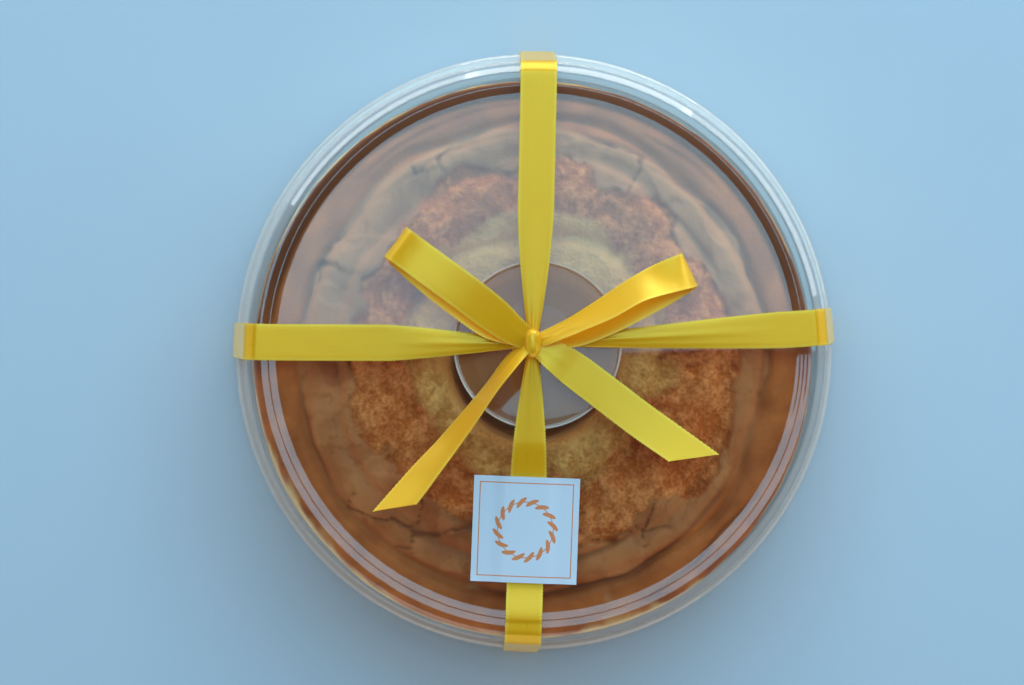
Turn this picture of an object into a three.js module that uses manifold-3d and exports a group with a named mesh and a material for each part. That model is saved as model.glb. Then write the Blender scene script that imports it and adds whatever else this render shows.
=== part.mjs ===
// A chiffon cake in its shut clear pack. The pack is tied crosswise with one satin ribbon that
// ends in a bow, and a square paper label is stuck over the ribbon's front arm.
// Millimetres, +Z up. The origin is on the table, under the middle of the pack; -Y is the front.
import * as THREE from 'three';
import { mergeVertices } from 'three/addons/utils/BufferGeometryUtils.js';
import Module from 'manifold-3d';

const wasm = await Module();
wasm.setup();

// Driving dimensions
const RIBBON_WIDTH = 12;
const RIBBON_THICK = 0.4;
const PLASTIC_THICK = 0.5;
const LABEL_SIDE = 35;
const LABEL_THICK = 0.25;
const GAP = 0.3;
const PACK_RADIUS = 108;
const PANEL_Z = 94;
const CAKE_TOP_RADIUS = 94;
const CAKE_FOOT_RADIUS = 98.4;
const CAKE_HOLE_RADIUS = 27;

// Facets
const PACK_FACETS = 56;
const CAKE_FACETS = 76;
const KNOT_FACETS = 14;
const BAND_LANES = 2;

// Lid: a flat panel with a round dish, two low steps up to a crown, a bevel, a conical wall and a flange
const DISH_RADIUS = 26.8;
const DISH_DEPTH = 2.5;
const DISH_SLOPE = 0.6;
const DISH_REACH = 30;
const DISH_SHIFT = new THREE.Vector2(0.5, 2.5);
// Corners of the two steps, the crown and the bevel as [radius, rise over the panel]
const RIM = [[86.3, 0], [88.1, 0.6], [88.8, 0.6], [90.6, 1.2], [91.4, 1.2], [92.8, 0.9], [95.6, -1.1]];
const WALL_FOOT = { radius: 104.4, z: 12, turnOut: 0.8 };
const FLANGE = { z: 10.3, edgeIn: 1.2, edgeDown: 0.7 };
const SKIRT = { z: 7.4, lean: 0.1 };

// Base tray: a raised middle, a wide foot ring and a steep side up to its own flange
const TRAY_MIDDLE = { radius: 72, z: 1.9 };
const TRAY_FOOT = { inner: 75, outer: 101.2, z: 1.0 };
const TRAY_SIDE = { bottom: 102.4, top: 103.3, turnOut: 1, turnUp: 0.9 };
const TRAY_FLANGE = { radius: 106.9, z: 9.5 };

// Cake: turned out of its tin, so it is wider at the foot, and set a little to the front of the pack
const CAKE_SHIFT = new THREE.Vector2(-1, -2.5);
const CAKE_FOOT_Z = TRAY_MIDDLE.z + PLASTIC_THICK / 2 + GAP;

// The crust's height over the foot, from the hole out to the rim: a pale ridge round the hole,
// a torn swelling, sunk plates of skin, a crevice and a smooth outer rim
const CRUST_LINE = [
  [27.6, 74], [29.2, 78.3], [32.2, 80.6], [36.5, 81.6], [40, 81.2], [42.5, 79.6], [45.5, 81.6],
  [50, 83.6], [55, 84.8], [60, 84.6], [64.5, 83.2], [67, 81.4], [71, 81.8], [75.5, 81.4],
  [78.6, 79.4], [81.5, 80.6], [85, 80.4], [89.5, 79], [92.6, 75.8], [CAKE_TOP_RADIUS, 71],
];
// How far the side leans out from the foot, and the hole from its mouth, by height over the foot
const SIDE_LEAN = [[-1.8, 0], [0, 1.5], [0.8, 14], [0.2, 25], [-1, 37], [-2.2, 49], [-3.4, 61]];
const HOLE_LEAN = [[0, 66], [-1.4, 50], [-3.8, 26], [-6.6, 2], [-5.6, 0]];
const TOP_FADE = { from: 66, to: 78 };
const PLATES = { inner: 36, outer: 84, fade: 5 };
const TORN = { inner: 43, outer: 66, fade: 4 };
// Relief: the height of each kind of unevenness, its length, and where its pattern starts
const WANDER = { reach: 6.4, scale: 24, start: [7, 3] };
const CRAG = { height: 3.2, scale: 8, start: [0, 0] };
const SWELL = { height: 2.4, scale: 30, start: [19, 11] };
const SIDE_UNEVEN = { reach: 0.8, scale: 14, slant: 0.7 };

// Ribbon: where its four arms cross the rim, and how they gather towards the knot
const KNOT = new THREE.Vector3(-1, 3, 98.1);
const KNOT_RADIUS = 3.0;
const KNOT_HALF_LENGTH = 4.9;
const ARM_KNOT_RISE = 1.1;
const ARMS = {
  right: { azimuth: 5.1, gather: 82, neck: 1.8, flare: 1.2 },
  back: { azimuth: 89.4, gather: 46, neck: 2.6, flare: 1.6 },
  left: { azimuth: 177.8, gather: 48, neck: 1.8, flare: 1.2 },
  front: { azimuth: 267.4, gather: 46, neck: 2.6, flare: 1.6 },
};
const ARM_STEPS = 9;
const LABEL_HOLD = 12;
const CREASE_HEIGHT = 0.9;
const RIM_ROUTE = [
  [89, 95.95], [92.2, 95.95], [93.2, 95.7], [95.5, 94.15], [96.5, 93.2],
  [108.75, 10.2], [108.8, 7.2], [108, 6.3], [103.6, 1.2],
];
const FOOT_ROUTE = { radius: 101, z: RIBBON_THICK / 2 };
const CROSSING = { offsets: [-16, -7, 7, 16], lift: 0.35 };

// Bow: stations of each run as [distance from knot, sideways, height over panel, roll, width].
// Sideways is positive towards the back for a loop and to the left for a tail; roll in degrees.
const LEFT_LOOP = {
  azimuth: 143.7,
  stations: [
    [2, 0, 4.0, 0, 7.5], [8, -0.3, 6.4, 0, 9.6], [16, 0, 9.0, 0, 11.6], [27, 0.2, 11.2, 0, 12],
    [39, 0.2, 11.6, 0, 12], [49, 0.2, 10.2, 0, 12], [54.4, 0.2, 8.0, 0, 12], [56, 0.1, 5.6, 0, 12],
    [54.2, -0.4, 3.3, 0, 12], [48, -1.4, 2.2, 0, 12], [37, -2.3, 2.0, 4, 12], [26, -2.5, 2.3, 6, 12],
    [15, -2.6, 3.0, 8, 11], [8, -1.6, 3.4, 6, 8], [2, 0, 3.7, 0, 5.5],
  ],
};
const RIGHT_LOOP = {
  azimuth: 24.9,
  stations: [
    [2, 0, 4.2, 25, 5], [8, -0.2, 6.9, 44, 6.5], [16, 0, 9.6, 50, 9], [27, 0.5, 11.6, 50, 12],
    [39, 1.7, 11.8, 43, 12], [49, 1.2, 10.4, 24, 12], [54.8, 0.5, 8.2, 12, 12], [56.8, 0.3, 5.8, 6, 12],
    [54.8, -0.3, 3.4, 6, 12], [48, -1.2, 2.4, 6, 12], [37, -2.0, 2.5, 10, 12], [26, -2.4, 2.8, 12, 12],
    [15, -2.4, 3.2, 14, 10.5], [8, -1.4, 3.6, 10, 8], [2, 0, 3.8, 0, 5],
  ],
};
const LEFT_TAIL = {
  azimuth: 229.9,
  skew: -5.9,
  stations: [
    [2, -1.0, 4.0, -40, 5], [9, -1.6, 4.8, -54, 8], [18, -1.2, 6.2, -68, 11.5],
    [32, -0.4, 6.2, -62, 12], [46, 0, 5.7, -54, 12], [58, 0, 5.0, -44, 12], [70.6, 0, 4.7, -38, 12],
  ],
};
const RIGHT_TAIL = {
  azimuth: -35.4,
  skew: 6.1,
  stations: [
    [2, 0.4, 4.6, 0, 7], [8, 0.8, 5.2, 8, 10], [16, 0.8, 4.0, 10, 11.8],
    [30, 0.4, 2.4, 8, 12], [43, 0, 2.0, 8, 12], [54, 0, 2.4, 12, 12], [65, 0, 3.2, 16, 12],
  ],
};

const LOOP_STEPS = 26;
const TAIL_STEPS = 12;
const TAIL_CUT_FROM = 0.75;
const KNOT_STEPS = 10;
const KNOT_ROUNDNESS = 3;

// Label: stuck to the panel on both sides of the ribbon, so its middle bridges the ribbon
const LABEL_CENTRE = new THREE.Vector2(-3.5, -58.5);
const LABEL_TURN = -2.2;
const LABEL_BRIDGE = { half: 7, ramp: 4.5 };

// Colours
const CRUST_BROWN = 0x9c6034;
const CLEAR_PLASTIC = 0xe6edf0;
const SATIN_YELLOW = 0xe3b822;
const LABEL_WHITE = 0xeef3f8;

const UP = new THREE.Vector3(0, 0, 1);

// A smooth random value between 0 and 1 over the plane, the same on every run
function latticeValue(column, row) {
  const value = Math.sin(column * 127.1 + row * 311.7) * 43758.5453;
  return value - Math.floor(value);
}

function smoothNoise(x, y) {
  const column = Math.floor(x);
  const row = Math.floor(y);
  const u = THREE.MathUtils.smoothstep(x - column, 0, 1);
  const v = THREE.MathUtils.smoothstep(y - row, 0, 1);
  const near = THREE.MathUtils.lerp(latticeValue(column, row), latticeValue(column + 1, row), u);
  const far = THREE.MathUtils.lerp(latticeValue(column, row + 1), latticeValue(column + 1, row + 1), u);
  return THREE.MathUtils.lerp(near, far, v);
}

// A value that is 1 inside a ring of the given radii and fades to 0 over the fade length
function ringMask(radius, { inner, outer, fade }) {
  const rise = THREE.MathUtils.smoothstep(radius, inner - fade, inner + fade);
  return rise * (1 - THREE.MathUtils.smoothstep(radius, outer - fade, outer + fade));
}

function degrees(angle) {
  return THREE.MathUtils.degToRad(angle);
}

function flatDirection(azimuth) {
  return new THREE.Vector3(Math.cos(degrees(azimuth)), Math.sin(degrees(azimuth)), 0);
}

// Closed geometry and solids
function solidOf(geometry) {
  const bare = geometry.clone();
  bare.deleteAttribute('normal');
  bare.deleteAttribute('uv');
  const welded = mergeVertices(bare, 1e-4);
  return new wasm.Manifold(new wasm.Mesh({
    numProp: 3,
    vertProperties: new Float32Array(welded.attributes.position.array),
    triVerts: new Uint32Array(welded.index.array),
  }));
}

function geometryOf(solid) {
  const mesh = solid.getMesh();
  const geometry = new THREE.BufferGeometry();
  geometry.setAttribute('position', new THREE.BufferAttribute(new Float32Array(mesh.vertProperties), 3));
  geometry.setIndex(new THREE.BufferAttribute(new Uint32Array(mesh.triVerts), 1));
  geometry.computeVertexNormals();
  return geometry;
}

function fused(geometries) {
  return geometryOf(geometries.map(solidOf).reduce((whole, piece) => whole.add(piece)));
}

// A profile turned round the pack's upright axis
function turned(profile, facets) {
  return new THREE.LatheGeometry(profile, facets).rotateX(Math.PI / 2);
}

// The closed profile of a formed sheet: its middle line, from the axis out to its edge, made thick
function sheetProfile(line, thick) {
  const sides = line.map((point, i) => {
    const before = line[Math.max(i - 1, 0)];
    const after = line[Math.min(i + 1, line.length - 1)];
    const along = after.clone().sub(before).normalize();
    const half = new THREE.Vector2(-along.y, along.x).multiplyScalar(thick / 2);
    if (point.x === 0) half.set(0, thick / 2);
    return { upper: point.clone().add(half), lower: point.clone().sub(half) };
  });
  return [...sides.map((side) => side.lower), ...sides.map((side) => side.upper).reverse()];
}

function points(pairs) {
  return pairs.map(([radius, z]) => new THREE.Vector2(radius, z));
}

function lidGeometry() {
  const line = points([
    [0, PANEL_Z - DISH_DEPTH],
    [DISH_RADIUS, PANEL_Z - DISH_DEPTH],
    [DISH_RADIUS + DISH_SLOPE, PANEL_Z],
    ...RIM.map(([radius, rise]) => [radius, PANEL_Z + rise]),
    [WALL_FOOT.radius, WALL_FOOT.z],
    [WALL_FOOT.radius + WALL_FOOT.turnOut, FLANGE.z + GAP],
    [PACK_RADIUS - FLANGE.edgeIn, FLANGE.z],
    [PACK_RADIUS - SKIRT.lean, FLANGE.z - FLANGE.edgeDown],
    [PACK_RADIUS, SKIRT.z],
  ]);
  return shiftedDish(turned(sheetProfile(line, PLASTIC_THICK), PACK_FACETS));
}

// The dish lies a little behind the lid's middle
function shiftedDish(geometry) {
  const { position } = geometry.attributes;
  for (let i = 0; i < position.count; i += 1) {
    const inDish = Math.hypot(position.getX(i), position.getY(i)) < DISH_REACH;
    if (inDish) position.setXY(i, position.getX(i) + DISH_SHIFT.x, position.getY(i) + DISH_SHIFT.y);
  }
  return geometry;
}

function trayGeometry() {
  const line = points([
    [0, TRAY_MIDDLE.z],
    [TRAY_MIDDLE.radius, TRAY_MIDDLE.z],
    [TRAY_FOOT.inner, TRAY_FOOT.z],
    [TRAY_FOOT.outer, TRAY_FOOT.z],
    [TRAY_SIDE.bottom, 2 * TRAY_FOOT.z],
    [TRAY_SIDE.top, TRAY_FLANGE.z - TRAY_SIDE.turnUp],
    [TRAY_SIDE.top + TRAY_SIDE.turnOut, TRAY_FLANGE.z],
    [TRAY_FLANGE.radius, TRAY_FLANGE.z],
  ]);
  return turned(sheetProfile(line, PLASTIC_THICK), PACK_FACETS);
}

function cakeProfile() {
  const outer = points(SIDE_LEAN.map(([lean, z]) => [CAKE_FOOT_RADIUS + lean, z]));
  const hole = points(HOLE_LEAN.map(([lean, z]) => [CAKE_HOLE_RADIUS + lean, z]));
  const profile = [...outer, ...points(CRUST_LINE).reverse(), ...hole];
  return [...profile, profile[0].clone()];
}

// One kind of unevenness over the plane, from -0.5 to 0.5
function uneven({ scale, start }, x, y) {
  return smoothNoise(x / scale + start[0], y / scale + start[1]) - 0.5;
}

// Relief of the crust and the uneven sides, worked out from each point's place on the cake
function roughenCake(position) {
  const point = new THREE.Vector3();
  for (let i = 0; i < position.count; i += 1) {
    point.fromBufferAttribute(position, i);
    const radius = Math.hypot(point.x, point.y);
    const onTop = THREE.MathUtils.smoothstep(point.z, TOP_FADE.from, TOP_FADE.to);
    const wander = WANDER.reach * uneven(WANDER, point.x, point.y);
    const crag = CRAG.height * uneven(CRAG, point.x, point.y);
    const swell = SWELL.height * uneven(SWELL, point.x, point.y);
    const slant = SIDE_UNEVEN.slant * point.z;
    const side = smoothNoise((point.x + slant) / SIDE_UNEVEN.scale, (point.y - slant) / SIDE_UNEVEN.scale);
    const sideReach = SIDE_UNEVEN.reach * (side - 0.5);
    const reach = THREE.MathUtils.lerp(sideReach, ringMask(radius, PLATES) * wander, onTop);
    const scale = 1 + reach / radius;
    const lift = onTop * (ringMask(radius, TORN) * crag + swell);
    position.setXYZ(i, point.x * scale, point.y * scale, point.z + lift);
  }
}

function cakeGeometry() {
  const geometry = turned(cakeProfile(), CAKE_FACETS);
  roughenCake(geometry.attributes.position);
  return geometry.translate(CAKE_SHIFT.x, CAKE_SHIFT.y, CAKE_FOOT_Z);
}

// A closed ribbon band along stations of {place, across, width, crease, skew, level}.
// A level station keeps its width flat to the table.
function bandGeometry(stations) {
  const rows = stations.map((station, i) => {
    const before = stations[Math.max(i - 1, 0)].place;
    const after = stations[Math.min(i + 1, stations.length - 1)].place;
    const along = after.clone().sub(before).normalize();
    const across = station.across.clone();
    if (!station.level) across.addScaledVector(along, -across.dot(along)).normalize();
    const face = along.clone().cross(across).normalize();
    const row = { upper: [], lower: [] };
    for (let lane = 0; lane <= BAND_LANES; lane += 1) {
      const u = (2 * lane) / BAND_LANES - 1;
      const middle = station.place.clone()
        .addScaledVector(across, (u * station.width) / 2)
        .addScaledVector(along, u * (station.skew ?? 0))
        .addScaledVector(face, (station.crease ?? 0) * (1 - Math.abs(u)));
      row.upper.push(middle.clone().addScaledVector(face, RIBBON_THICK / 2));
      row.lower.push(middle.clone().addScaledVector(face, -RIBBON_THICK / 2));
    }
    return [...row.upper, ...row.lower.reverse()];
  });
  const ring = rows[0].length;
  const faces = [];
  for (let i = 0; i + 1 < rows.length; i += 1) {
    for (let j = 0; j < ring; j += 1) {
      const here = i * ring + j;
      const side = i * ring + ((j + 1) % ring);
      faces.push(here, here + ring, side, side, here + ring, side + ring);
    }
  }
  const last = (rows.length - 1) * ring;
  for (let lane = 0; lane < BAND_LANES; lane += 1) {
    const far = ring - 1 - lane;
    faces.push(lane, lane + 1, far, far, lane + 1, far - 1);
    faces.push(last + lane, last + far, last + lane + 1, last + far, last + far - 1, last + lane + 1);
  }
  const geometry = new THREE.BufferGeometry();
  geometry.setFromPoints(rows.flat());
  geometry.setIndex(faces);
  return geometry;
}

// One arm from the knot to the rim, as stations that run outwards
function armStations(arm, inFront) {
  const out = flatDirection(arm.azimuth);
  const start = new THREE.Vector3(KNOT.x, KNOT.y, PANEL_Z + ARM_KNOT_RISE);
  const rim = out.clone().multiplyScalar(RIM_ROUTE[0][0]).setZ(RIM_ROUTE[0][1]);
  const across = UP.clone().cross(rim.clone().sub(start).setZ(0)).normalize();
  const length = rim.distanceTo(start);
  const stations = [];
  for (let i = 0; i < ARM_STEPS; i += 1) {
    const part = i / ARM_STEPS;
    const place = start.clone().lerp(rim, part);
    const spread = 1 - (1 - Math.min((part * length) / arm.gather, 1)) ** arm.flare;
    if (inFront) place.z = frontArmHeight(place.y);
    stations.push({
      place,
      across,
      width: THREE.MathUtils.lerp(arm.neck, RIBBON_WIDTH, spread),
      crease: CREASE_HEIGHT * (1 - spread),
      level: true,
    });
  }
  return stations;
}

// The front arm is pressed down on the panel where the label holds it
function frontArmHeight(y) {
  const pressed = PANEL_Z + PLASTIC_THICK / 2 + GAP + RIBBON_THICK / 2;
  const away = Math.abs(y - LABEL_CENTRE.y) - LABEL_SIDE / 2;
  const freed = THREE.MathUtils.smoothstep(away, 0, LABEL_HOLD);
  return THREE.MathUtils.lerp(pressed, PANEL_Z + 2 * ARM_KNOT_RISE, freed);
}

// Over the rim, down the side, round the flange and in to the foot ring
function dropStations(arm) {
  const out = flatDirection(arm.azimuth);
  const across = UP.clone().cross(out);
  const route = [...RIM_ROUTE, [FOOT_ROUTE.radius, FOOT_ROUTE.z]];
  return route.map(([radius, z]) => ({
    place: out.clone().multiplyScalar(radius).setZ(z),
    across,
    width: RIBBON_WIDTH,
    level: true,
  }));
}

// Turns stations that run outwards into stations that run back to the knot
function inward(stations) {
  return [...stations].reverse().map((station) => ({ ...station, across: station.across.clone().negate() }));
}

// One turn of ribbon round the pack, from the knot and back to it
function wrapGeometry(near, far, lifted) {
  const nearSide = [...armStations(near, near === ARMS.front), ...dropStations(near)];
  const farSide = inward([...armStations(far, far === ARMS.front), ...dropStations(far)]);
  const from = nearSide.at(-1);
  const to = farSide[0];
  const length = from.place.distanceTo(to.place);
  const middle = [];
  for (const offset of CROSSING.offsets) {
    const part = 0.5 + offset / length;
    const place = from.place.clone().lerp(to.place, part);
    if (lifted && Math.abs(offset) < RIBBON_WIDTH) place.z += CROSSING.lift;
    const across = from.across.clone().lerp(to.across, part).normalize();
    middle.push({ place, across, width: RIBBON_WIDTH, level: true });
  }
  return bandGeometry([...nearSide, ...middle, ...farSide]);
}

// A smooth run of the bow through its named stations
function bowRun(run, rollSide, steps) {
  const out = flatDirection(run.azimuth);
  const left = UP.clone().cross(out);
  const back = left.y > 0 ? left.clone() : left.clone().negate();
  const sideways = rollSide === 'back' ? back : left;
  const places = new THREE.CatmullRomCurve3(run.stations.map(([distance, aside, height]) => (
    new THREE.Vector3(KNOT.x, KNOT.y, PANEL_Z + height)
      .addScaledVector(out, distance)
      .addScaledVector(sideways, aside)
  )), false, 'centripetal');
  const shape = new THREE.CatmullRomCurve3(run.stations.map(([, , , roll, width]) => (
    new THREE.Vector3(roll, width, 0)
  )), false, 'catmullrom');
  const stations = [];
  for (let i = 0; i <= steps; i += 1) {
    const part = i / steps;
    const { x: roll, y: width } = shape.getPoint(part);
    const lean = left.clone().multiplyScalar(Math.cos(degrees(roll)));
    const drop = Math.sin(degrees(roll)) * (left.dot(sideways) > 0 ? -1 : 1);
    stations.push({
      place: places.getPoint(part),
      across: lean.addScaledVector(UP, drop),
      width,
      crease: CREASE_HEIGHT * THREE.MathUtils.clamp((RIBBON_WIDTH - width) / RIBBON_WIDTH, 0, 1),
      skew: (run.skew ?? 0) * THREE.MathUtils.smoothstep(part, TAIL_CUT_FROM, 1),
    });
  }
  return bandGeometry(stations);
}

// The knot: the ribbon's middle wrap, a barrel that lies along Y
function knotGeometry() {
  const profile = [];
  for (let i = 0; i <= KNOT_STEPS; i += 1) {
    const along = (2 * i) / KNOT_STEPS - 1;
    const swell = Math.sqrt(Math.max(1 - Math.abs(along) ** KNOT_ROUNDNESS, 0));
    profile.push(new THREE.Vector2(KNOT_RADIUS * swell, along * KNOT_HALF_LENGTH));
  }
  profile[0].x = 0;
  profile[KNOT_STEPS].x = 0;
  return new THREE.LatheGeometry(profile, KNOT_FACETS).translate(KNOT.x, KNOT.y, KNOT.z);
}

function ribbonGeometry() {
  return fused([
    knotGeometry(),
    wrapGeometry(ARMS.right, ARMS.left, false),
    wrapGeometry(ARMS.back, ARMS.front, true),
    bowRun(LEFT_LOOP, 'back', LOOP_STEPS),
    bowRun(RIGHT_LOOP, 'back', LOOP_STEPS),
    bowRun(LEFT_TAIL, 'left', TAIL_STEPS),
    bowRun(RIGHT_TAIL, 'left', TAIL_STEPS),
  ]);
}

// The label's bridge over the ribbon, drawn across the label and drawn out along it
function labelGeometry() {
  const low = PANEL_Z + PLASTIC_THICK / 2 + GAP;
  const high = low + RIBBON_THICK + GAP;
  const half = LABEL_SIDE / 2;
  const under = points([
    [-half, low], [-LABEL_BRIDGE.half - LABEL_BRIDGE.ramp, low], [-LABEL_BRIDGE.half, high],
    [LABEL_BRIDGE.half, high], [LABEL_BRIDGE.half + LABEL_BRIDGE.ramp, low], [half, low],
  ]);
  const over = under.map((point) => new THREE.Vector2(point.x, point.y + LABEL_THICK)).reverse();
  const section = new THREE.Shape([...under, ...over]);
  const geometry = new THREE.ExtrudeGeometry(section, { depth: LABEL_SIDE, bevelEnabled: false });
  return geometry.rotateX(Math.PI / 2).translate(0, half, 0);
}

function piece(name, geometry, material) {
  const mesh = new THREE.Mesh(geometry, new THREE.MeshStandardMaterial(material));
  mesh.name = name;
  return mesh;
}

const clearPlastic = {
  color: CLEAR_PLASTIC, roughness: 0.05, metalness: 0, transparent: true, opacity: 0.25,
};
const cake = piece('cake', cakeGeometry(), { color: CRUST_BROWN, roughness: 0.85, metalness: 0 });
const packBase = piece('pack_base', trayGeometry(), clearPlastic);
const packLid = piece('pack_lid', lidGeometry(), clearPlastic);
const ribbon = piece('ribbon', ribbonGeometry(), { color: SATIN_YELLOW, roughness: 0.4, metalness: 0 });
const label = piece('label', labelGeometry(), { color: LABEL_WHITE, roughness: 0.6, metalness: 0 });
label.position.set(LABEL_CENTRE.x, LABEL_CENTRE.y, 0);
label.rotation.z = degrees(LABEL_TURN);

const packedCake = new THREE.Group();
packedCake.add(packBase, cake, packLid, ribbon, label);

export default packedCake;
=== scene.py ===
"""Looks of a chiffon cake in its shut clear pack, tied crosswise with a satin ribbon.

The classes hold their sizes in millimetres in the part's own frame, and meshes are made in metres.
"""
import itertools
import logging
import math
from collections.abc import Callable, Mapping
from dataclasses import dataclass, field
from enum import Enum
from typing import Any

import bpy
import numpy as np
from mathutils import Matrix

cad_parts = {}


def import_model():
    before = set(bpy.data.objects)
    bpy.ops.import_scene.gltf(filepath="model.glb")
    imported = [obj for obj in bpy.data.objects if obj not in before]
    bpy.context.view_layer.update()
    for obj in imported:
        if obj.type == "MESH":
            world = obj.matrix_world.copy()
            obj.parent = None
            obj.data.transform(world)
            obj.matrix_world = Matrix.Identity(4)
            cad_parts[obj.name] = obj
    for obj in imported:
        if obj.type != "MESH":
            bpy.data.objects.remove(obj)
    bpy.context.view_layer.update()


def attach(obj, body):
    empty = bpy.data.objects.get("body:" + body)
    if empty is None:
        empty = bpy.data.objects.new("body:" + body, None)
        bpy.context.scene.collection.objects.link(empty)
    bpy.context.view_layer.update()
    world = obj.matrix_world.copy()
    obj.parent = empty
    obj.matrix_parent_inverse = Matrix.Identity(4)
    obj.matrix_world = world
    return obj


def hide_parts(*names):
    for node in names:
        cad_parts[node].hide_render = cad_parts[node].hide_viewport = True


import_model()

Array = np.ndarray
Pair = tuple[float, float]
Triple = tuple[float, float, float]
Colour = Triple
Pairs = tuple[Pair, ...]
Settings = Mapping[str, Any]

MM = 0.001
BODY = "root"
UP = np.array((0.0, 0.0, 1.0))
# Two pieces share each of these: the height of the lid's panel, and the label's side and middle.
PANEL_Z = 94.0
LABEL_SIDE = 35.0
LABEL_CENTRE = (-3.5, -58.5)
# No edge turns by more than this many degrees.
ALL_SMOOTH = 180.0
# These make the values on a lattice look random: steps along columns and rows, and their spread.
LATTICE_STEPS = (127.1, 311.7)
LATTICE_SPREAD = 43758.5453
# These keep stretches between points, and rings on an axis, from shrinking to nothing.
TINY = 1e-6
SLIGHT = 1e-4
LOG = logging.getLogger("packed_cake")


class Slot(Enum):
    """The material slots."""

    CAKE = "cake"
    PLASTIC = "clear_plastic"
    SATIN = "satin"
    PAPER = "label_paper"


def smoothstep(value: Array, low: float | Array, high: float | Array) -> Array:
    """Ease from 0 at low to 1 at high.

    Args:
        value: Numbers to ease.
        low: Where the result leaves 0.
        high: Where the result reaches 1.

    Returns:
        Numbers from 0 to 1.
    """
    part = np.clip((value - low) / (high - low), 0.0, 1.0)
    return part * part * (3.0 - 2.0 * part)


def lerp(first: Any, second: Any, part: Any) -> Any:
    """Go from first to second by that part of the way."""
    return first + (second - first) * part


def unit(vectors: Array) -> Array:
    """Scale each vector to a length of 1."""
    return vectors / np.linalg.norm(vectors, axis=-1, keepdims=True)


def flat_direction(azimuth: float) -> Array:
    """Give the level direction at that azimuth in degrees."""
    angle = math.radians(azimuth)
    return np.array((math.cos(angle), math.sin(angle), 0.0))


def hump(distance: Array, width: float) -> Array:
    """Rise to 1 where the distance is 0, and fall off over that width."""
    return np.exp(-((distance / width) ** 2))


def full_turn(count: int) -> Array:
    """Give that many angles, evenly round a circle."""
    return np.linspace(0.0, math.tau, count, endpoint=False)


def as_points(x: Array, y: Array, z: Array) -> Array:
    """Put grids of places into one list of points."""
    return np.stack((x, y, z), axis=-1).reshape(-1, 3)


def lattice(column: Array, row: Array) -> Array:
    """Give each lattice point its own value from 0 to 1, the same in each run."""
    value = np.sin(column * LATTICE_STEPS[0] + row * LATTICE_STEPS[1]) * LATTICE_SPREAD
    return value - np.floor(value)


@dataclass(frozen=True)
class Swell:
    """Soft swells over a plane: their height and length, and the origin's place in the pattern."""

    height: float
    length: float
    start: Pair = (0.0, 0.0)

    def at(self, x: Array, y: Array) -> Array:
        """Look the swells up.

        Args:
            x: Places along X.
            y: Places along Y.

        Returns:
            Rises from minus half the height to half of it.
        """
        x = x / self.length + self.start[0]
        y = y / self.length + self.start[1]
        column = np.floor(x)
        row = np.floor(y)
        u = smoothstep(x - column, 0.0, 1.0)
        v = smoothstep(y - row, 0.0, 1.0)
        near = lerp(lattice(column, row), lattice(column + 1, row), u)
        far = lerp(lattice(column, row + 1), lattice(column + 1, row + 1), u)
        return self.height * (lerp(near, far, v) - 0.5)


@dataclass(frozen=True)
class Rough:
    """Swells with finer ones on them: height and length of the largest, how many sizes, and the start."""

    height: float
    length: float
    sizes: int
    start: float
    start_step: float = 17.3
    start_slope: float = 1.7
    gain: float = 1.6

    def at(self, x: Array, y: Array) -> Array:
        """Look the swells up.

        Args:
            x: Places along X.
            y: Places along Y.

        Returns:
            Rises from about minus half the height to half of it.
        """
        total = np.zeros_like(x)
        for size in range(self.sizes):
            start = self.start + self.start_step * size
            finer = Swell(0.5 ** (size + 1), self.length / 2**size, (start, start * self.start_slope))
            total += finer.at(x, y)
        return self.height * (self.gain * total)


@dataclass(frozen=True)
class Patches:
    """Soft-edged patches: none where swells of 1 stay under low, and all where they pass high."""

    length: float
    start: Pair
    low: float
    high: float

    def at(self, x: Array, y: Array) -> Array:
        """Give how much of a patch each place has."""
        return smoothstep(Swell(1.0, self.length, self.start).at(x, y), self.low, self.high)


@dataclass(frozen=True)
class Plates:
    """Uneven plates that split a plane: their usual width, and the start of the pattern."""

    width: float
    start: float
    height_start: Pair = (57.0, 113.0)
    tone_start: Pair = (211.0, 31.0)

    def at(self, x: Array, y: Array) -> tuple[Array, Array]:
        """Find the plate at each place.

        Args:
            x: Places along X.
            y: Places along Y.

        Returns:
            The way to the nearest border, twice over, and each plate's own value from 0 to 1.
        """
        near = second = np.full(x.shape, np.inf)
        tone = np.zeros(x.shape)
        for i, j in itertools.product((-1, 0, 1), repeat=2):
            column = np.floor(x / self.width) + i
            row = np.floor(y / self.width) + j
            first = column + self.start
            middle_x = (column + lattice(first, row)) * self.width
            height = lattice(first + self.height_start[0], row + self.height_start[1])
            middle_y = (row + height) * self.width
            distance = np.hypot(middle_x - x, middle_y - y)
            closer = distance < near
            second = np.where(closer, near, np.minimum(second, distance))
            tone = np.where(closer, lattice(first + self.tone_start[0], row + self.tone_start[1]), tone)
            near = np.minimum(near, distance)
        return second - near, tone


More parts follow.
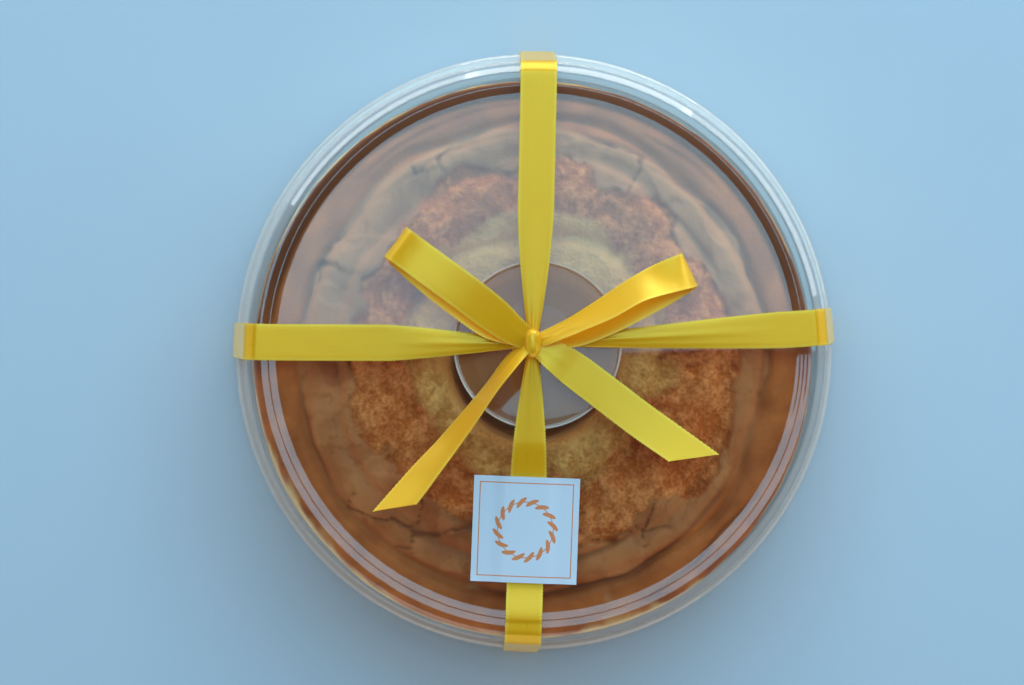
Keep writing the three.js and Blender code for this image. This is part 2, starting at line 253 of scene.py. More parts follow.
class Line:
    """Curves through points, and points spaced evenly along them."""

    @staticmethod
    def spline(points: Array, parts: Array, alpha: float = 0.5) -> Array:
        """Run a smooth curve through points.

        Args:
            points: Points that the curve passes, one to a row.
            parts: Where on the curve to look, from 0 to 1.
            alpha: 0.5 keeps tight turns round, and 0 treats all stretches alike.

        Returns:
            One point for each part.
        """
        last = len(points) - 1
        place = np.asarray(parts) * last
        index = np.minimum(place.astype(int), last - 1)
        w = (place - index)[:, None]
        ends = (2 * points[0] - points[1], points, 2 * points[-1] - points[-2])
        padded = np.vstack(ends)
        p0, p1, p2, p3 = (padded[index + k] for k in range(4))
        gaps = [np.linalg.norm(b - a, axis=1)[:, None] for a, b in ((p0, p1), (p1, p2), (p2, p3))]
        d0, d1, d2 = (np.maximum(gap, TINY) ** alpha for gap in gaps)
        leave = d1 * ((p1 - p0) / d0 - (p2 - p0) / (d0 + d1) + (p2 - p1) / d1)
        arrive = d1 * ((p2 - p1) / d1 - (p3 - p1) / (d1 + d2) + (p3 - p2) / d2)
        square = 3 * (p2 - p1) - 2 * leave - arrive
        cube = 2 * (p1 - p2) + leave + arrive
        return p1 + w * (leave + w * (square + w * cube))

    @staticmethod
    def lengths(points: Array) -> Array:
        """Give how far along its line each point is."""
        steps = np.linalg.norm(np.diff(points, axis=0), axis=1)
        return np.concatenate(((0.0,), np.cumsum(steps)))

    @classmethod
    def spaced(cls, points: Array, spacing: float) -> Array:
        """Put points at an even spacing along a line of straight stretches.

        Args:
            points: Corners of the line, one to a row.
            spacing: Wanted distance between the new points.

        Returns:
            The new points, with both ends kept.
        """
        along = cls.lengths(points)
        count = max(int(round(along[-1] / spacing)), 1)
        wanted = np.linspace(0.0, along[-1], count + 1)
        return np.column_stack([np.interp(wanted, along, points[:, k]) for k in range(points.shape[1])])

    @staticmethod
    def rounded(points: Array, trim: float, steps: int = 5, guard: float = 1.25) -> Array:
        """Round the corners of a line and keep the stretches between them flat.

        Args:
            points: Corners of the line, one to a row.
            trim: How far from each corner its round starts, or a third of a shorter stretch.
            steps: Steps in each round.
            guard: Where the flat point next to each round lies, in trims.

        Returns:
            The points of the rounded line.
        """
        result = [points[0]]
        for before, corner, after in zip(points, points[1:], points[2:]):
            cuts = []
            for end in (before, after):
                reach = np.linalg.norm(end - corner)
                cuts.append((end - corner) * min(trim / reach, 1.0 / 3.0))
            result.append(corner + guard * cuts[0])
            for t in np.linspace(0.0, 1.0, steps + 1):
                result.append(corner + (1 - t) ** 2 * cuts[0] + t * t * cuts[1])
            result.append(corner + guard * cuts[1])
        result.append(points[-1])
        return np.array(result)


def grid_faces(rows: int, columns: int, ring_rows: bool, ring_columns: bool) -> Array:
    """Join a grid of points by quads.

    Args:
        rows: Rows of points.
        columns: Points in a row.
        ring_rows: Whether the last row joins the first.
        ring_columns: Whether each row's last point joins its first.

    Returns:
        Four point numbers for each quad.
    """
    row = np.arange(rows if ring_rows else rows - 1)
    column = np.arange(columns if ring_columns else columns - 1)
    i, j = (part.ravel() for part in np.meshgrid(row, column, indexing="ij"))
    i_next = (i + 1) % rows
    j_next = (j + 1) % columns
    corners = (i * columns + j, i * columns + j_next, i_next * columns + j_next, i_next * columns + j)
    return np.column_stack(corners)


@dataclass
class Skin:
    """A closed surface in the making: points in millimetres, faces, and values at the points."""

    points: Array
    faces: Array
    values: dict[str, Array] = field(default_factory=dict)

    def outward(self) -> "Skin":
        """Turn the faces so that they look out of the solid.

        Returns:
            The same surface.
        """
        a, b, c, d = (self.points[self.faces[:, k]] for k in range(4))
        volume = (a * np.cross(b, c)).sum() + (a * np.cross(c, d)).sum()
        if volume < 0:
            self.faces = self.faces[:, ::-1]
        return self

    def joined(self, other: "Skin") -> "Skin":
        """Put two surfaces into one.

        Args:
            other: Surface with the same values.

        Returns:
            A new surface of both.
        """
        values = {name: np.concatenate((self.values[name], other.values[name])) for name in self.values}
        faces = np.vstack((self.faces, other.faces + len(self.points)))
        return Skin(np.vstack((self.points, other.points)), faces, values)

    def piece(self, name: str, material: bpy.types.Material, sharp: float = ALL_SMOOTH) -> bpy.types.Object:
        """Make the surface a Blender object.

        Args:
            name: Name of the piece.
            material: Its finish.
            sharp: Angle in degrees over which an edge isn't shaded smooth.

        Returns:
            The new object, linked to the scene.
        """
        mesh = bpy.data.meshes.new(name)
        mesh.from_pydata((self.points * MM).tolist(), [], self.faces.tolist())
        for key, numbers in self.values.items():
            layer = mesh.attributes.new(key, "FLOAT", "POINT")
            layer.data.foreach_set("value", np.ascontiguousarray(numbers, dtype=np.float32))
        mesh.shade_smooth()
        if sharp < ALL_SMOOTH:
            mesh.set_sharp_from_angle(angle=math.radians(sharp))
        mesh.materials.append(material)
        made = bpy.data.objects.new(name, mesh)
        bpy.context.scene.collection.objects.link(made)
        return made


def place_piece(made: bpy.types.Object, node: str) -> bpy.types.Object:
    """Let a piece ride on the part and stand for its solid.

    Args:
        made: The piece.
        node: Solid that it stands for.

    Returns:
        The same piece.
    """
    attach(made, BODY)
    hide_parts(node)
    return made


def operators(operation: str) -> tuple[Callable[..., "Term"], Callable[..., "Term"]]:
    """Make an operator and its reflected form.

    Args:
        operation: The Math node's operation.

    Returns:
        Methods for a term before and after the other value.
    """
    def before(self: "Term", other: Any) -> "Term":
        """Add a Math node with the term first."""
        return self.paint.math(operation, self, other)

    def after(self: "Term", other: Any) -> "Term":
        """Add a Math node with the term second."""
        return self.paint.math(operation, other, self)

    return before, after


class Term:
    """A shader value with arithmetic: each operation adds one Math node."""

    __add__, __radd__ = operators("ADD")
    __sub__, __rsub__ = operators("SUBTRACT")
    __mul__, __rmul__ = operators("MULTIPLY")
    __truediv__, __rtruediv__ = operators("DIVIDE")
    __pow__, __rpow__ = operators("POWER")

    def __init__(self, paint: "Paint", socket: bpy.types.NodeSocket) -> None:
        """Wrap an output socket of the paint's tree."""
        self.paint = paint
        self.socket = socket

    def __abs__(self) -> "Term":
        """Drop the sign."""
        return self.paint.math("ABSOLUTE", self)

    def within(self) -> "Term":
        """Keep the value from 0 to 1."""
        return self.paint.term("ShaderNodeClamp", {}, {"Value": self})

    def eased(self, low: float, high: float) -> "Term":
        """Ease from 0 at low to 1 at high."""
        values = {"Value": self, "From Min": low, "From Max": high}
        return self.paint.term("ShaderNodeMapRange", {"interpolation_type": "SMOOTHSTEP"}, values)


class Paint:
    """The nodes of a material or of the room's light in the making."""

    # A Mix node has sockets of one name for each type, so those for colours go by number.
    MIX_INPUTS = (0, 6, 7)
    MIX_COLOUR = 2

    def __init__(self, owner: bpy.types.Material | bpy.types.World) -> None:
        """Start with no nodes."""
        owner.use_nodes = True
        self.owner = owner
        self.tree = owner.node_tree
        self.tree.nodes.clear()

    @classmethod
    def named(cls, name: str) -> "Paint":
        """Start a new material of that name."""
        return cls(bpy.data.materials.new(name))

    def node(self, kind: str, settings: Settings, values: Mapping[Any, Any]) -> bpy.types.Node:
        """Add one node.

        Args:
            kind: Blender's name of the node's type.
            settings: The node's own settings, set first.
            values: Numbers, colours or terms for its sockets, by name or number.

        Returns:
            The new node.
        """
        made = self.tree.nodes.new(kind)
        for key, setting in settings.items():
            setattr(made, key, setting)
        for key, value in values.items():
            socket = made.inputs[key]
            if isinstance(value, Term):
                self.tree.links.new(value.socket, socket)
            else:
                socket.default_value = value
        return made

    def term(self, kind: str, settings: Settings, values: Mapping[Any, Any], output: Any = 0) -> Term:
        """Add one node and wrap one of its outputs."""
        return Term(self, self.node(kind, settings, values).outputs[output])

    def math(self, operation: str, *values: Any) -> Term:
        """Add a Math node of that operation on the values."""
        return self.term("ShaderNodeMath", {"operation": operation}, dict(enumerate(values)))

    def value(self, name: str) -> Term:
        """Read a value that the mesh holds at its points."""
        return self.term("ShaderNodeAttribute", {"attribute_name": name}, {}, "Fac")

    def place(self) -> Term:
        """Read the place on the piece, in metres."""
        return self.term("ShaderNodeTexCoord", {}, {}, "Object")

    def vector(self, x: Any, y: Any) -> Term:
        """Make a level vector of two values."""
        return self.term("ShaderNodeCombineXYZ", {}, {"X": x, "Y": y})

    def noise(self, grain: float, detail: float, place: Term | None = None) -> Term:
        """Add cloudy noise.

        Args:
            grain: Size of its clouds in millimetres.
            detail: How much finer noise is added.
            place: Where to look, or the place on the piece.

        Returns:
            A value from 0 to 1.
        """
        values = {"Vector": place or self.place(), "Scale": 1.0 / (grain * MM), "Detail": detail}
        return self.term("ShaderNodeTexNoise", {}, values, "Fac")

    def blend(self, factor: Any, first: Any, second: Any) -> Term:
        """Mix two colours.

        Args:
            factor: 0 for the first and 1 for the second.
            first: A colour or a term.
            second: A colour or a term.

        Returns:
            The mixed colour.
        """
        colours = [x if isinstance(x, Term) else (*x, 1.0) for x in (first, second)]
        values = dict(zip(self.MIX_INPUTS, (factor, *colours)))
        return self.term("ShaderNodeMix", {"data_type": "RGBA"}, values, self.MIX_COLOUR)

    def bump(self, height: Term, distance: float, strength: float) -> Term:
        """Raise fine relief of that height in millimetres."""
        values = {"Height": height, "Distance": distance * MM, "Strength": strength}
        return self.term("ShaderNodeBump", {}, values)

    def finish(self, shader: Term) -> bpy.types.Material:
        """Send a shader to the material's output."""
        self.node("ShaderNodeOutputMaterial", {}, {"Surface": shader})
        return self.owner

    def principled(self, values: Mapping[str, Any]) -> Term:
        """Add the standard surface shader."""
        return self.term("ShaderNodeBsdfPrincipled", {}, values)

    def surface(self, values: Mapping[str, Any]) -> bpy.types.Material:
        """Finish with the standard surface shader alone."""
        return self.finish(self.principled(values))


@dataclass(frozen=True)
class CrustFinish:
    """Baked crust: brown skin, torn orange crumb, and pale yellow crumb round the hole."""

    skin: Colour = (0.38, 0.095, 0.024)
    skin_pale: Colour = (0.57, 0.19, 0.06)
    rim: Colour = (0.58, 0.155, 0.034)
    rim_dark: Colour = (0.36, 0.085, 0.018)
    crumb: Colour = (0.54, 0.11, 0.018)
    # Paler torn crumb: random specks, plus a painted highlight on raised crumb and painted light near the
    # hole.
    crumb_pale_and_lit: Colour = (0.94, 0.30, 0.085)
    yolk: Colour = (0.60, 0.20, 0.04)
    # Paler yolk crumb: random specks, plus a painted highlight on raised crumb and painted light near the
    # hole.
    yolk_pale_and_lit: Colour = (0.96, 0.44, 0.12)
    # Painted light: a paler tan laid over the back half of the top.
    painted_back_light: Colour = (0.72, 0.42, 0.22)
    side: Colour = (0.86, 0.60, 0.27)
    side_skin: Colour = (0.66, 0.33, 0.11)
    # Painted shade in the pores of the bare side.
    side_pore_shade: Colour = (0.50, 0.26, 0.08)
    tube: Colour = (0.62, 0.30, 0.11)
    # Partly a darker baked edge, partly painted shade where the top's outer edge turns down on the back
    # half.
    scorched_and_shaded: Colour = (0.13, 0.037, 0.011)
    # Painted shade: the dark brown laid into cracks, folds, grooves, along the torn edge and on flake
    # edges.
    crevice_shade: Colour = (0.24, 0.055, 0.016)
    mottle_size: float = 14.0
    mottle_detail: float = 4.0
    grain_size: float = 1.25
    grain_detail: float = 5.0
    pale_cloud: float = 2.2
    pale_speck: float = 0.3
    pale_start: float = 0.25
    rim_cloud: float = 3.4
    rim_start: float = 1.2
    lit_highlight: float = 0.6
    lit_speck: float = 1.9
    lit_cloud: float = 0.8
    lit_start: float = 0.1
    browned_cloud: float = 2.2
    browned_start: float = 0.85
    browned_speck: float = 0.9
    # Painted shade in the side's pores: below which grain, how steeply, and how dark.
    pore_shade_limit: float = 0.45
    pore_shade_slope: float = 6.0
    pore_shade_depth: float = 0.7
    side_loose: float = 0.7
    skin_roughness: float = 0.5
    crumb_roughness: float = 0.35
    specular: float = 0.12
    skin_grain: float = 0.2
    crumb_grain: float = 0.8
    mottle_relief: float = 0.3
    relief: float = 1.1
    relief_strength: float = 0.7

    def material(self) -> bpy.types.Material:
        """Make the crust's material from the values that the cake's mesh holds.

        Returns:
            The new material.
        """
        paint = Paint.named("baked_crust")
        torn, yolk, side = (paint.value(name) for name in ("torn", "yolk", "side"))
        mottle = paint.noise(self.mottle_size, self.mottle_detail)
        grain = paint.noise(self.grain_size, self.grain_detail)
        cloud = mottle - 0.5
        speck = grain - 0.5
        pale = paint.value("tone") + cloud * self.pale_cloud + speck * self.pale_speck + self.pale_start
        rim = paint.blend((mottle * self.rim_cloud - self.rim_start).within(), self.rim_dark, self.rim)
        # The crumb pales at random specks and clouds, on raised crumb as a painted highlight, and by the
        # painted light and shade.
        clumps = paint.value("raised_highlight") * self.lit_highlight + speck * self.lit_speck + cloud * self.lit_cloud
        lit = (clumps + paint.value("painted_light") + self.lit_start).within()
        browned = mottle * self.browned_cloud - self.browned_start + speck * self.browned_speck
        # Painted shade in the pores, where the grain, and so the bump, is low.
        pores = ((self.pore_shade_limit - grain) * self.pore_shade_slope).within() * self.pore_shade_depth
        flank = paint.blend(browned.within(), self.side, self.side_skin)
        flank = paint.blend(pores, flank, self.side_pore_shade)
        layers = (
            (paint.value("rim"), paint.blend(paint.value("scorch_and_shade"), rim, self.scorched_and_shaded)),
            (torn, paint.blend(lit, self.crumb, self.crumb_pale_and_lit)),
            (yolk, paint.blend(lit, self.yolk, self.yolk_pale_and_lit)),
            (paint.value("painted_back_light"), self.painted_back_light),
            (side, paint.blend(paint.value("tube"), flank, self.tube)),
            (paint.value("painted_crevice_shade"), self.crevice_shade),
        )
        colour = paint.blend(pale.within(), self.skin, self.skin_pale)
        for mask, layer in layers:
            colour = paint.blend(mask, colour, layer)
        loose = (torn + yolk + side * self.side_loose).within()
        height = grain * (self.skin_grain + self.crumb_grain * loose) + mottle * self.mottle_relief
        return paint.surface({
            "Base Color": colour,
            "Roughness": self.skin_roughness + self.crumb_roughness * loose,
            "Specular IOR Level": self.specular,
            "Normal": paint.bump(height, self.relief, self.relief_strength),
        })


@dataclass(frozen=True)
class PlasticFinish:
    """Clear formed sheet that lets light through and mirrors it more the flatter it is seen, under a
    diffuse layer that carries painted shade and painted highlights.
    """

    tint: Colour = (0.994, 0.996, 0.996)
    # Painted shade: a brown film on the dish floor that stands in for the shaded hole beneath it.
    painted_hole_shade: Colour = (0.56, 0.20, 0.07)
    # Painted highlight and painted light: a pale film on the dish's edge and on the flange.
    crease: Colour = (0.95, 0.80, 0.70)
    mirrored: float = 0.04
    mirror_power: float = 5.0
    facing_blend: float = 0.5
    roughness: float = 0.02
    painted_layer_roughness: float = 0.9

    def material(self) -> bpy.types.Material:
        """Make the sheet's material.

        Returns:
            The new material.
        """
        paint = Paint.named("clear_sheet")
        facing = paint.term("ShaderNodeLayerWeight", {}, {"Blend": self.facing_blend}, "Facing")
        share = self.mirrored + (1.0 - self.mirrored) * facing**self.mirror_power
        clear = paint.term("ShaderNodeBsdfTransparent", {}, {"Color": (*self.tint, 1.0)})
        gloss = {"Color": (1.0, 1.0, 1.0, 1.0), "Roughness": self.roughness}
        mirror = paint.term("ShaderNodeBsdfAnisotropic", {}, gloss)
        # A diffuse layer that carries the painted shade and the painted highlights.
        painted_layer = paint.principled({
            "Base Color": paint.blend(paint.value("painted_highlight"), self.painted_hole_shade, self.crease),
            "Roughness": self.painted_layer_roughness,
            "Specular IOR Level": 0.0,
        })
        sheet = paint.term("ShaderNodeMixShader", {}, {0: paint.value("painted_layer"), 1: clear, 2: painted_layer})
        return paint.finish(paint.term("ShaderNodeMixShader", {}, {0: share, 1: sheet, 2: mirror}))


@dataclass(frozen=True)
class SatinFinish:
    """Yellow satin: long warp threads with a soft shine, and corded edges."""

    thread: Colour = (0.93, 0.435, 0.006)
    shade: Colour = (0.86, 0.355, 0.004)
    edge: Colour = (0.94, 0.56, 0.06)
    shine: Colour = (1.0, 0.77, 0.14)
    index: float = 1.9
    warp: float = 0.32
    run: float = 9.0
    cloud: Pair = (5.0, 22.0)
    detail: float = 2.0
    lit_strand: float = 0.7
    lit_cloud: float = 0.9
    lit_start: float = 0.3
    selvedge: Pair = (0.80, 0.93)
    edge_tint: float = 0.6
    picot: float = 1.1
    strand_relief: float = 0.5
    cord_relief: Pair = (0.5, 0.3)
    gloss: Pair = (0.24, 0.14)
    sheen: float = 0.3
    sheen_roughness: float = 0.4
    sheen_tint: Colour = (1.0, 0.93, 0.5)
    relief: float = 0.12
    relief_strength: float = 0.35

    def material(self) -> bpy.types.Material:
        """Make the satin's material from the strip's own lengths.

        Returns:
            The new material.
        """
        paint = Paint.named("yellow_satin")
        across = paint.value("across")
        along = paint.value("along")
        unscaled = 1.0 / MM
        thread_place = paint.vector(across / self.warp, along / self.run)
        strand = paint.noise(unscaled, self.detail, thread_place)
        cloud_place = paint.vector(across / self.cloud[0], along / self.cloud[1])
        cloud = paint.noise(unscaled, self.detail, cloud_place)
        lit = strand * self.lit_strand + cloud * self.lit_cloud - self.lit_start
        colour = paint.blend(lit.within(), self.shade, self.thread)
        corded = paint.value("selvedge").eased(*self.selvedge)
        cord = paint.math("SINE", along * (math.tau / self.picot))
        cord_height = self.cord_relief[0] + self.cord_relief[1] * cord
        height = strand * self.strand_relief + corded * cord_height
        return paint.surface({
            "Base Color": paint.blend(corded * self.edge_tint, colour, self.edge),
            "Roughness": self.gloss[0] + self.gloss[1] * strand,
            "IOR": self.index,
            "Specular IOR Level": 1.0,
            "Specular Tint": (*self.shine, 1.0),
            "Sheen Weight": self.sheen,
            "Sheen Roughness": self.sheen_roughness,
            "Sheen Tint": (*self.sheen_tint, 1.0),
            "Normal": paint.bump(height, self.relief, self.relief_strength),
        })


@dataclass(frozen=True)
class LabelFinish:
    """White sticker paper with a small wreath of leaves and a thin frame line in orange."""

    paper: Colour = (0.62, 0.69, 0.80)
    ink: Colour = (0.72, 0.19, 0.02)
    leaves: int = 16
    wreath: float = 9.2
    leaf: float = 1.7
    leaf_lean: float = 0.28
    leaf_slim: float = 3.1
    leaf_edge: Pair = (0.78, 0.92)
    stem_edge: Pair = (0.12, 0.2)
    frame_line: float = 15.4
    frame_edge: Pair = (0.14, 0.22)
    fibre_size: float = 0.6
    fibre_detail: float = 4.0
    ink_cover: Pair = (0.82, 0.18)
    gloss: Pair = (0.42, 0.12)
    specular: float = 0.4
    relief: float = 0.03
    relief_strength: float = 0.25

    def material(self) -> bpy.types.Material:
        """Make the label's material from each point's place on the label.

        Returns:
            The new material.
        """
        paint = Paint.named("label_paper")
        x = paint.value("label_x")
        y = paint.value("label_y")
        beside = (x * x + y * y) ** 0.5 - self.wreath
        turn = paint.math("ARCTAN2", y, x) * (self.leaves / math.tau)
        wide = abs(paint.math("FRACT", turn + beside * self.leaf_lean) - 0.5) * self.leaf_slim
        tall = abs(beside) / self.leaf
        leaf = 1.0 - (wide * wide + tall * tall).eased(*self.leaf_edge)
        stem = 1.0 - abs(beside).eased(*self.stem_edge)
        edge = paint.math("MAXIMUM", abs(x), abs(y))
        line = 1.0 - abs(edge - self.frame_line).eased(*self.frame_edge)
        ink = (leaf + stem + line).within()
        fibre = paint.noise(self.fibre_size, self.fibre_detail)
        cover = self.ink_cover[0] + self.ink_cover[1] * fibre
        return paint.surface({
            "Base Color": paint.blend(ink * cover, self.paper, self.ink),
            "Roughness": self.gloss[0] + self.gloss[1] * fibre,
            "Specular IOR Level": self.specular,
            "Normal": paint.bump(fibre, self.relief, self.relief_strength),
        })


@dataclass(frozen=True)
class TableFinish:
    """Pale matt table top."""

    pale: Colour = (0.53, 0.64, 0.76)
    darker: float = 0.96
    cloud_size: float = 60.0
    cloud_detail: float = 3.0
    roughness: float = 0.6
    specular: float = 0.3

    def material(self) -> bpy.types.Material:
        """Make the table's material.

        Returns:
            The new material.
        """
        paint = Paint.named("pale_table")
        dark = tuple(self.darker * part for part in self.pale)
        return paint.surface({
            "Base Color": paint.blend(paint.noise(self.cloud_size, self.cloud_detail), dark, self.pale),
            "Roughness": self.roughness,
            "Specular IOR Level": self.specular,
        })


@dataclass(frozen=True)
class Ring:
    """A ring with soft edges: its inner and outer radius, and half the width of the edges."""

    inner: float
    outer: float
    fade: float

    def mark(self, radius: Array) -> Array:
        """Give 1 inside the ring and 0 outside."""
        inside = smoothstep(radius, self.inner - self.fade, self.inner + self.fade)
        return inside * (1.0 - smoothstep(radius, self.outer - self.fade, self.outer + self.fade))


@dataclass
class Spots:
    """Places on the cake: X, Y, height over the foot, and how much each belongs to the top."""

    x: Array
    y: Array
    z: Array
    on_top: Array
    radius: Array = field(init=False)
    angle: Array = field(init=False)

    def __post_init__(self) -> None:
        """Work out each place's radius and angle round the hole."""
        self.radius = np.hypot(self.x, self.y)
        self.angle = np.arctan2(self.y, self.x)

    def look(self, pattern: Swell | Rough | Patches) -> Array:
        """Look a pattern up at the places."""
        return pattern.at(self.x, self.y)

    def slanted(self, lean: float) -> "Spots":
        """Move the places sideways by their height, so that a pattern runs up the side."""
        step = lean * self.z
        return Spots(self.x + step, self.y - step, self.z, self.on_top)


@dataclass(frozen=True)
class Border:
    """A ragged border round the hole, pushed outwards at one azimuth."""

    radius: float
    ragged: Rough
    push: float = 0.0
    azimuth: float = 0.0

    def inside(self, spots: Spots) -> Array:
        """Give how far inside the border each place is."""
        pushed = self.push * np.cos(spots.angle - math.radians(self.azimuth))
        return self.radius + pushed + spots.look(self.ragged) - spots.radius


@dataclass
class Zones:
    """How much of each kind of crust a place has, and how far inside tear and crevice it lies."""

    opened: Array
    torn: Array
    yolk: Array
    rim: Array
    plate: Array
    back: Array
    tear: Array
    seam: Array


@dataclass
class Marks:
    """Fine marks of the crust at each place, each plate's and flake's own value, and its roughness."""

    crack: Array
    fold: Array
    lip: Array
    groove: Array
    ridge: Array
    flake_edge: Array
    plate_tone: Array
    flake_tone: Array
    clumps: Array
    pores: Array
    soft: Array


@dataclass(frozen=True)
class Crust:
    """The top's zones and fine relief: smooth rim, brown plates, torn crumb, and yolk round the hole."""

    hole_radius: float = 27.0
    torn_border: Border = Border(64.0, Rough(15.0, 16.0, 4, 4.4), 5.0, 30.0)
    torn_soft: float = 0.7
    yolk_border: Border = Border(43.5, Rough(9.0, 10.0, 3, 6.2), 4.5, 60.0)
    yolk_soft: float = 3.0
    torn_crumb: Triple = (1.9, 1.3, 1.1)
    yolk_crumb: Triple = (2.0, 0.8, 0.3)
    crevice: Border = Border(78.0, Rough(4.0, 22.0, 3, 8.8))
    rim_fade: Pair = (-0.8, 1.6)
    back_fade: Pair = (-0.1, 0.5)
    clumps: Rough = Rough(1.0, 9.0, 3, 1.3)
    pores: Rough = Rough(1.0, 2.6, 2, 5.9)
    soft: Rough = Rough(1.0, 13.0, 3, 2.5)
    jag_x: Rough = Rough(5.0, 7.0, 3, 3.1)
    jag_y: Rough = Rough(5.0, 7.0, 3, 9.7)
    plates: Plates = Plates(18.0, 40.0)
    plate_soft: float = 1.6
    plate_step: float = 0.8
    plate_level: float = 0.3
    crack_fade: Pair = (0.05, 1.0)
    crack_patches: Patches = Patches(18.0, (3.0, 9.0), -0.22, 0.12)
    crack_depth: float = 0.7
    flakes: Plates = Plates(10.0, 75.0)
    flake_squeeze: float = 1.3
    flake_fade: Pair = (0.1, 0.8)
    flake_step: float = 0.7
    flake_depth: float = 0.15
    flake_lines: Patches = Patches(14.0, (8.0, 2.0), -0.1, 0.3)
    fold_gap: float = 9.5
    fold_wander: Rough = Rough(7.0, 30.0, 2, 7.4)
    fold_patches: Patches = Patches(24.0, (6.0, 4.0), 0.0, 0.35)
    fold_width: float = 0.8
    fold_depth: float = 0.9
    fold_azimuth: float = -42.0
    fold_spread: float = 38.0
    fold_least: float = 0.5
    fold_more: float = 0.9
    lip_width: float = 1.3
    groove_width: float = 1.0
    groove_patches: Patches = Patches(26.0, (1.0, 6.0), -0.3, 0.25)
    groove_depth: float = 0.9
    ridge_radius: float = 75.0
    ridge_width: float = 3.5
    ridge_height: float = 0.5
    rim_soft: float = 0.5
    outer_fade: Pair = (90.0, 93.5)
    hole_fade: Pair = (0.8, 3.5)
    brink_fade: Pair = (2.0, 7.0)
    # Where the darker baked edge with its painted shade begins: by radius, and round the back half.
    scorch_shade_fade: Pair = (86.3, 88.3)
    scorch_shade_back: Pair = (-0.15, 0.35)
    flank_top: Pair = (65.0, 70.0)
    flank_slant: float = 0.8
    flank_ragged: Rough = Rough(8.0, 9.0, 3, 12.0)
    bared_turn: float = 15.0
    bared_fade: Pair = (0.2, 0.7)
    bared_rise: float = 7.0
    tube_radius: float = 49.2
    # Where the painted highlight on raised crumb starts, from the crumb's own heights.
    highlight_clumps: float = 0.5
    highlight_fade: Pair = (-0.3, 0.35)
    tone_plate: float = 0.4
    tone_flake: float = 0.5
    tone_soft: float = 0.7
    tone_start: float = 0.15
    tone_ridge: float = 0.7
    # How strong the painted shade is in cracks, folds, grooves, along the torn edge and on flake edges.
    shade_crack: float = 0.75
    shade_fold: float = 0.5
    shade_groove: float = 0.5
    shade_lip: float = 0.45
    shade_flake: float = 0.3
    # How much painted light pales the back half of the top, more on the yolk and the plates.
    back_light_base: float = 0.12
    back_light_yolk: float = 0.1
    back_light_plate: float = 0.14
    # Painted light on the yolk's back half and near the hole's brink, and painted shade on the torn crumb's
    # back half.
    painted_light_yolk: float = 0.7
    painted_light_brink: float = 0.7
    painted_shade_torn: float = 0.12

    def zones(self, spots: Spots) -> Zones:
        """Find which kind of crust lies where.

        Args:
            spots: Places on the cake.

        Returns:
            The zones at the places.
        """
        tear = self.torn_border.inside(spots)
        seam = self.crevice.inside(spots)
        opened = smoothstep(tear, -self.torn_soft, self.torn_soft)
        yolk = smoothstep(self.yolk_border.inside(spots), -self.yolk_soft, self.yolk_soft)
        rim = smoothstep(-seam, *self.rim_fade)
        return Zones(
            opened=opened,
            torn=opened * (1.0 - yolk),
            yolk=yolk,
            rim=rim,
            plate=(1.0 - opened) * (1.0 - rim),
            back=smoothstep(np.sin(spots.angle), *self.back_fade),
            tear=tear,
            seam=seam,
        )

    def marks(self, spots: Spots, zones: Zones) -> Marks:
        """Find the crust's cracks, folds, flakes and edges.

        Args:
            spots: Places on the cake.
            zones: The zones at these places.

        Returns:
            The marks at the places.
        """
        jag_x = spots.x + spots.look(self.jag_x)
        jag_y = spots.y + spots.look(self.jag_y)
        plate_gap, plate_tone = self.plates.at(jag_x, jag_y)
        flake_gap, flake_tone = self.flakes.at(self.flake_squeeze * jag_x, jag_y)
        crack = (1.0 - smoothstep(plate_gap, *self.crack_fade)) * zones.plate
        wave = (spots.radius + spots.look(self.fold_wander)) / self.fold_gap
        fold = hump((wave - np.round(wave)) * self.fold_gap, self.fold_width)
        fold = fold * spots.look(self.fold_patches) * (1.0 - zones.opened)
        folded = hump(spots.angle - math.radians(self.fold_azimuth), math.radians(self.fold_spread))
        return Marks(
            crack=crack * spots.look(self.crack_patches),
            fold=fold * (self.fold_least + self.fold_more * folded),
            lip=zones.opened * hump(np.maximum(zones.tear, 0.0), self.lip_width),
            groove=hump(zones.seam, self.groove_width) * spots.look(self.groove_patches),
            ridge=hump(spots.radius - self.ridge_radius, self.ridge_width) * zones.back,
            flake_edge=1.0 - smoothstep(flake_gap, *self.flake_fade),
            plate_tone=plate_tone,
            flake_tone=flake_tone,
            clumps=spots.look(self.clumps),
            pores=spots.look(self.pores),
            soft=spots.look(self.soft),
        )

    def relief(self, zones: Zones, marks: Marks) -> Array:
        """Add up the fine relief.

        Args:
            zones: The zones at some places.
            marks: The marks at these places.

        Returns:
            Heights to add there.
        """
        plate = self.plate_soft * marks.soft + self.plate_step * (marks.plate_tone - 0.5)
        plate = plate - self.crack_depth * marks.crack + self.plate_level
        flake = self.flake_step * (marks.flake_tone - 0.5) - self.flake_depth * marks.flake_edge
        relief = np.zeros_like(plate)
        for zone, crumb in ((zones.torn, self.torn_crumb), (zones.yolk, self.yolk_crumb)):
            clump, pore, sunk = crumb
            relief += zone * (clump * marks.clumps + pore * marks.pores - sunk)
        relief += zones.plate * plate - self.fold_depth * marks.fold
        relief += zones.plate * flake
        relief += zones.rim * self.rim_soft * marks.soft + self.ridge_height * marks.ridge
        return relief - self.groove_depth * marks.groove

    def flank(self, spots: Spots) -> Array:
        """Mark the bare side, whose ragged upper border rises towards the front.

        Args:
            spots: Places on the cake.

        Returns:
            Values of 1 on the side and 0 on the crust.
        """
        ragged = spots.z + spots.slanted(self.flank_slant).look(self.flank_ragged)
        bared = smoothstep(-np.sin(spots.angle + math.radians(self.bared_turn)), *self.bared_fade)
        return 1.0 - smoothstep(ragged - self.bared_rise * bared, *self.flank_top)

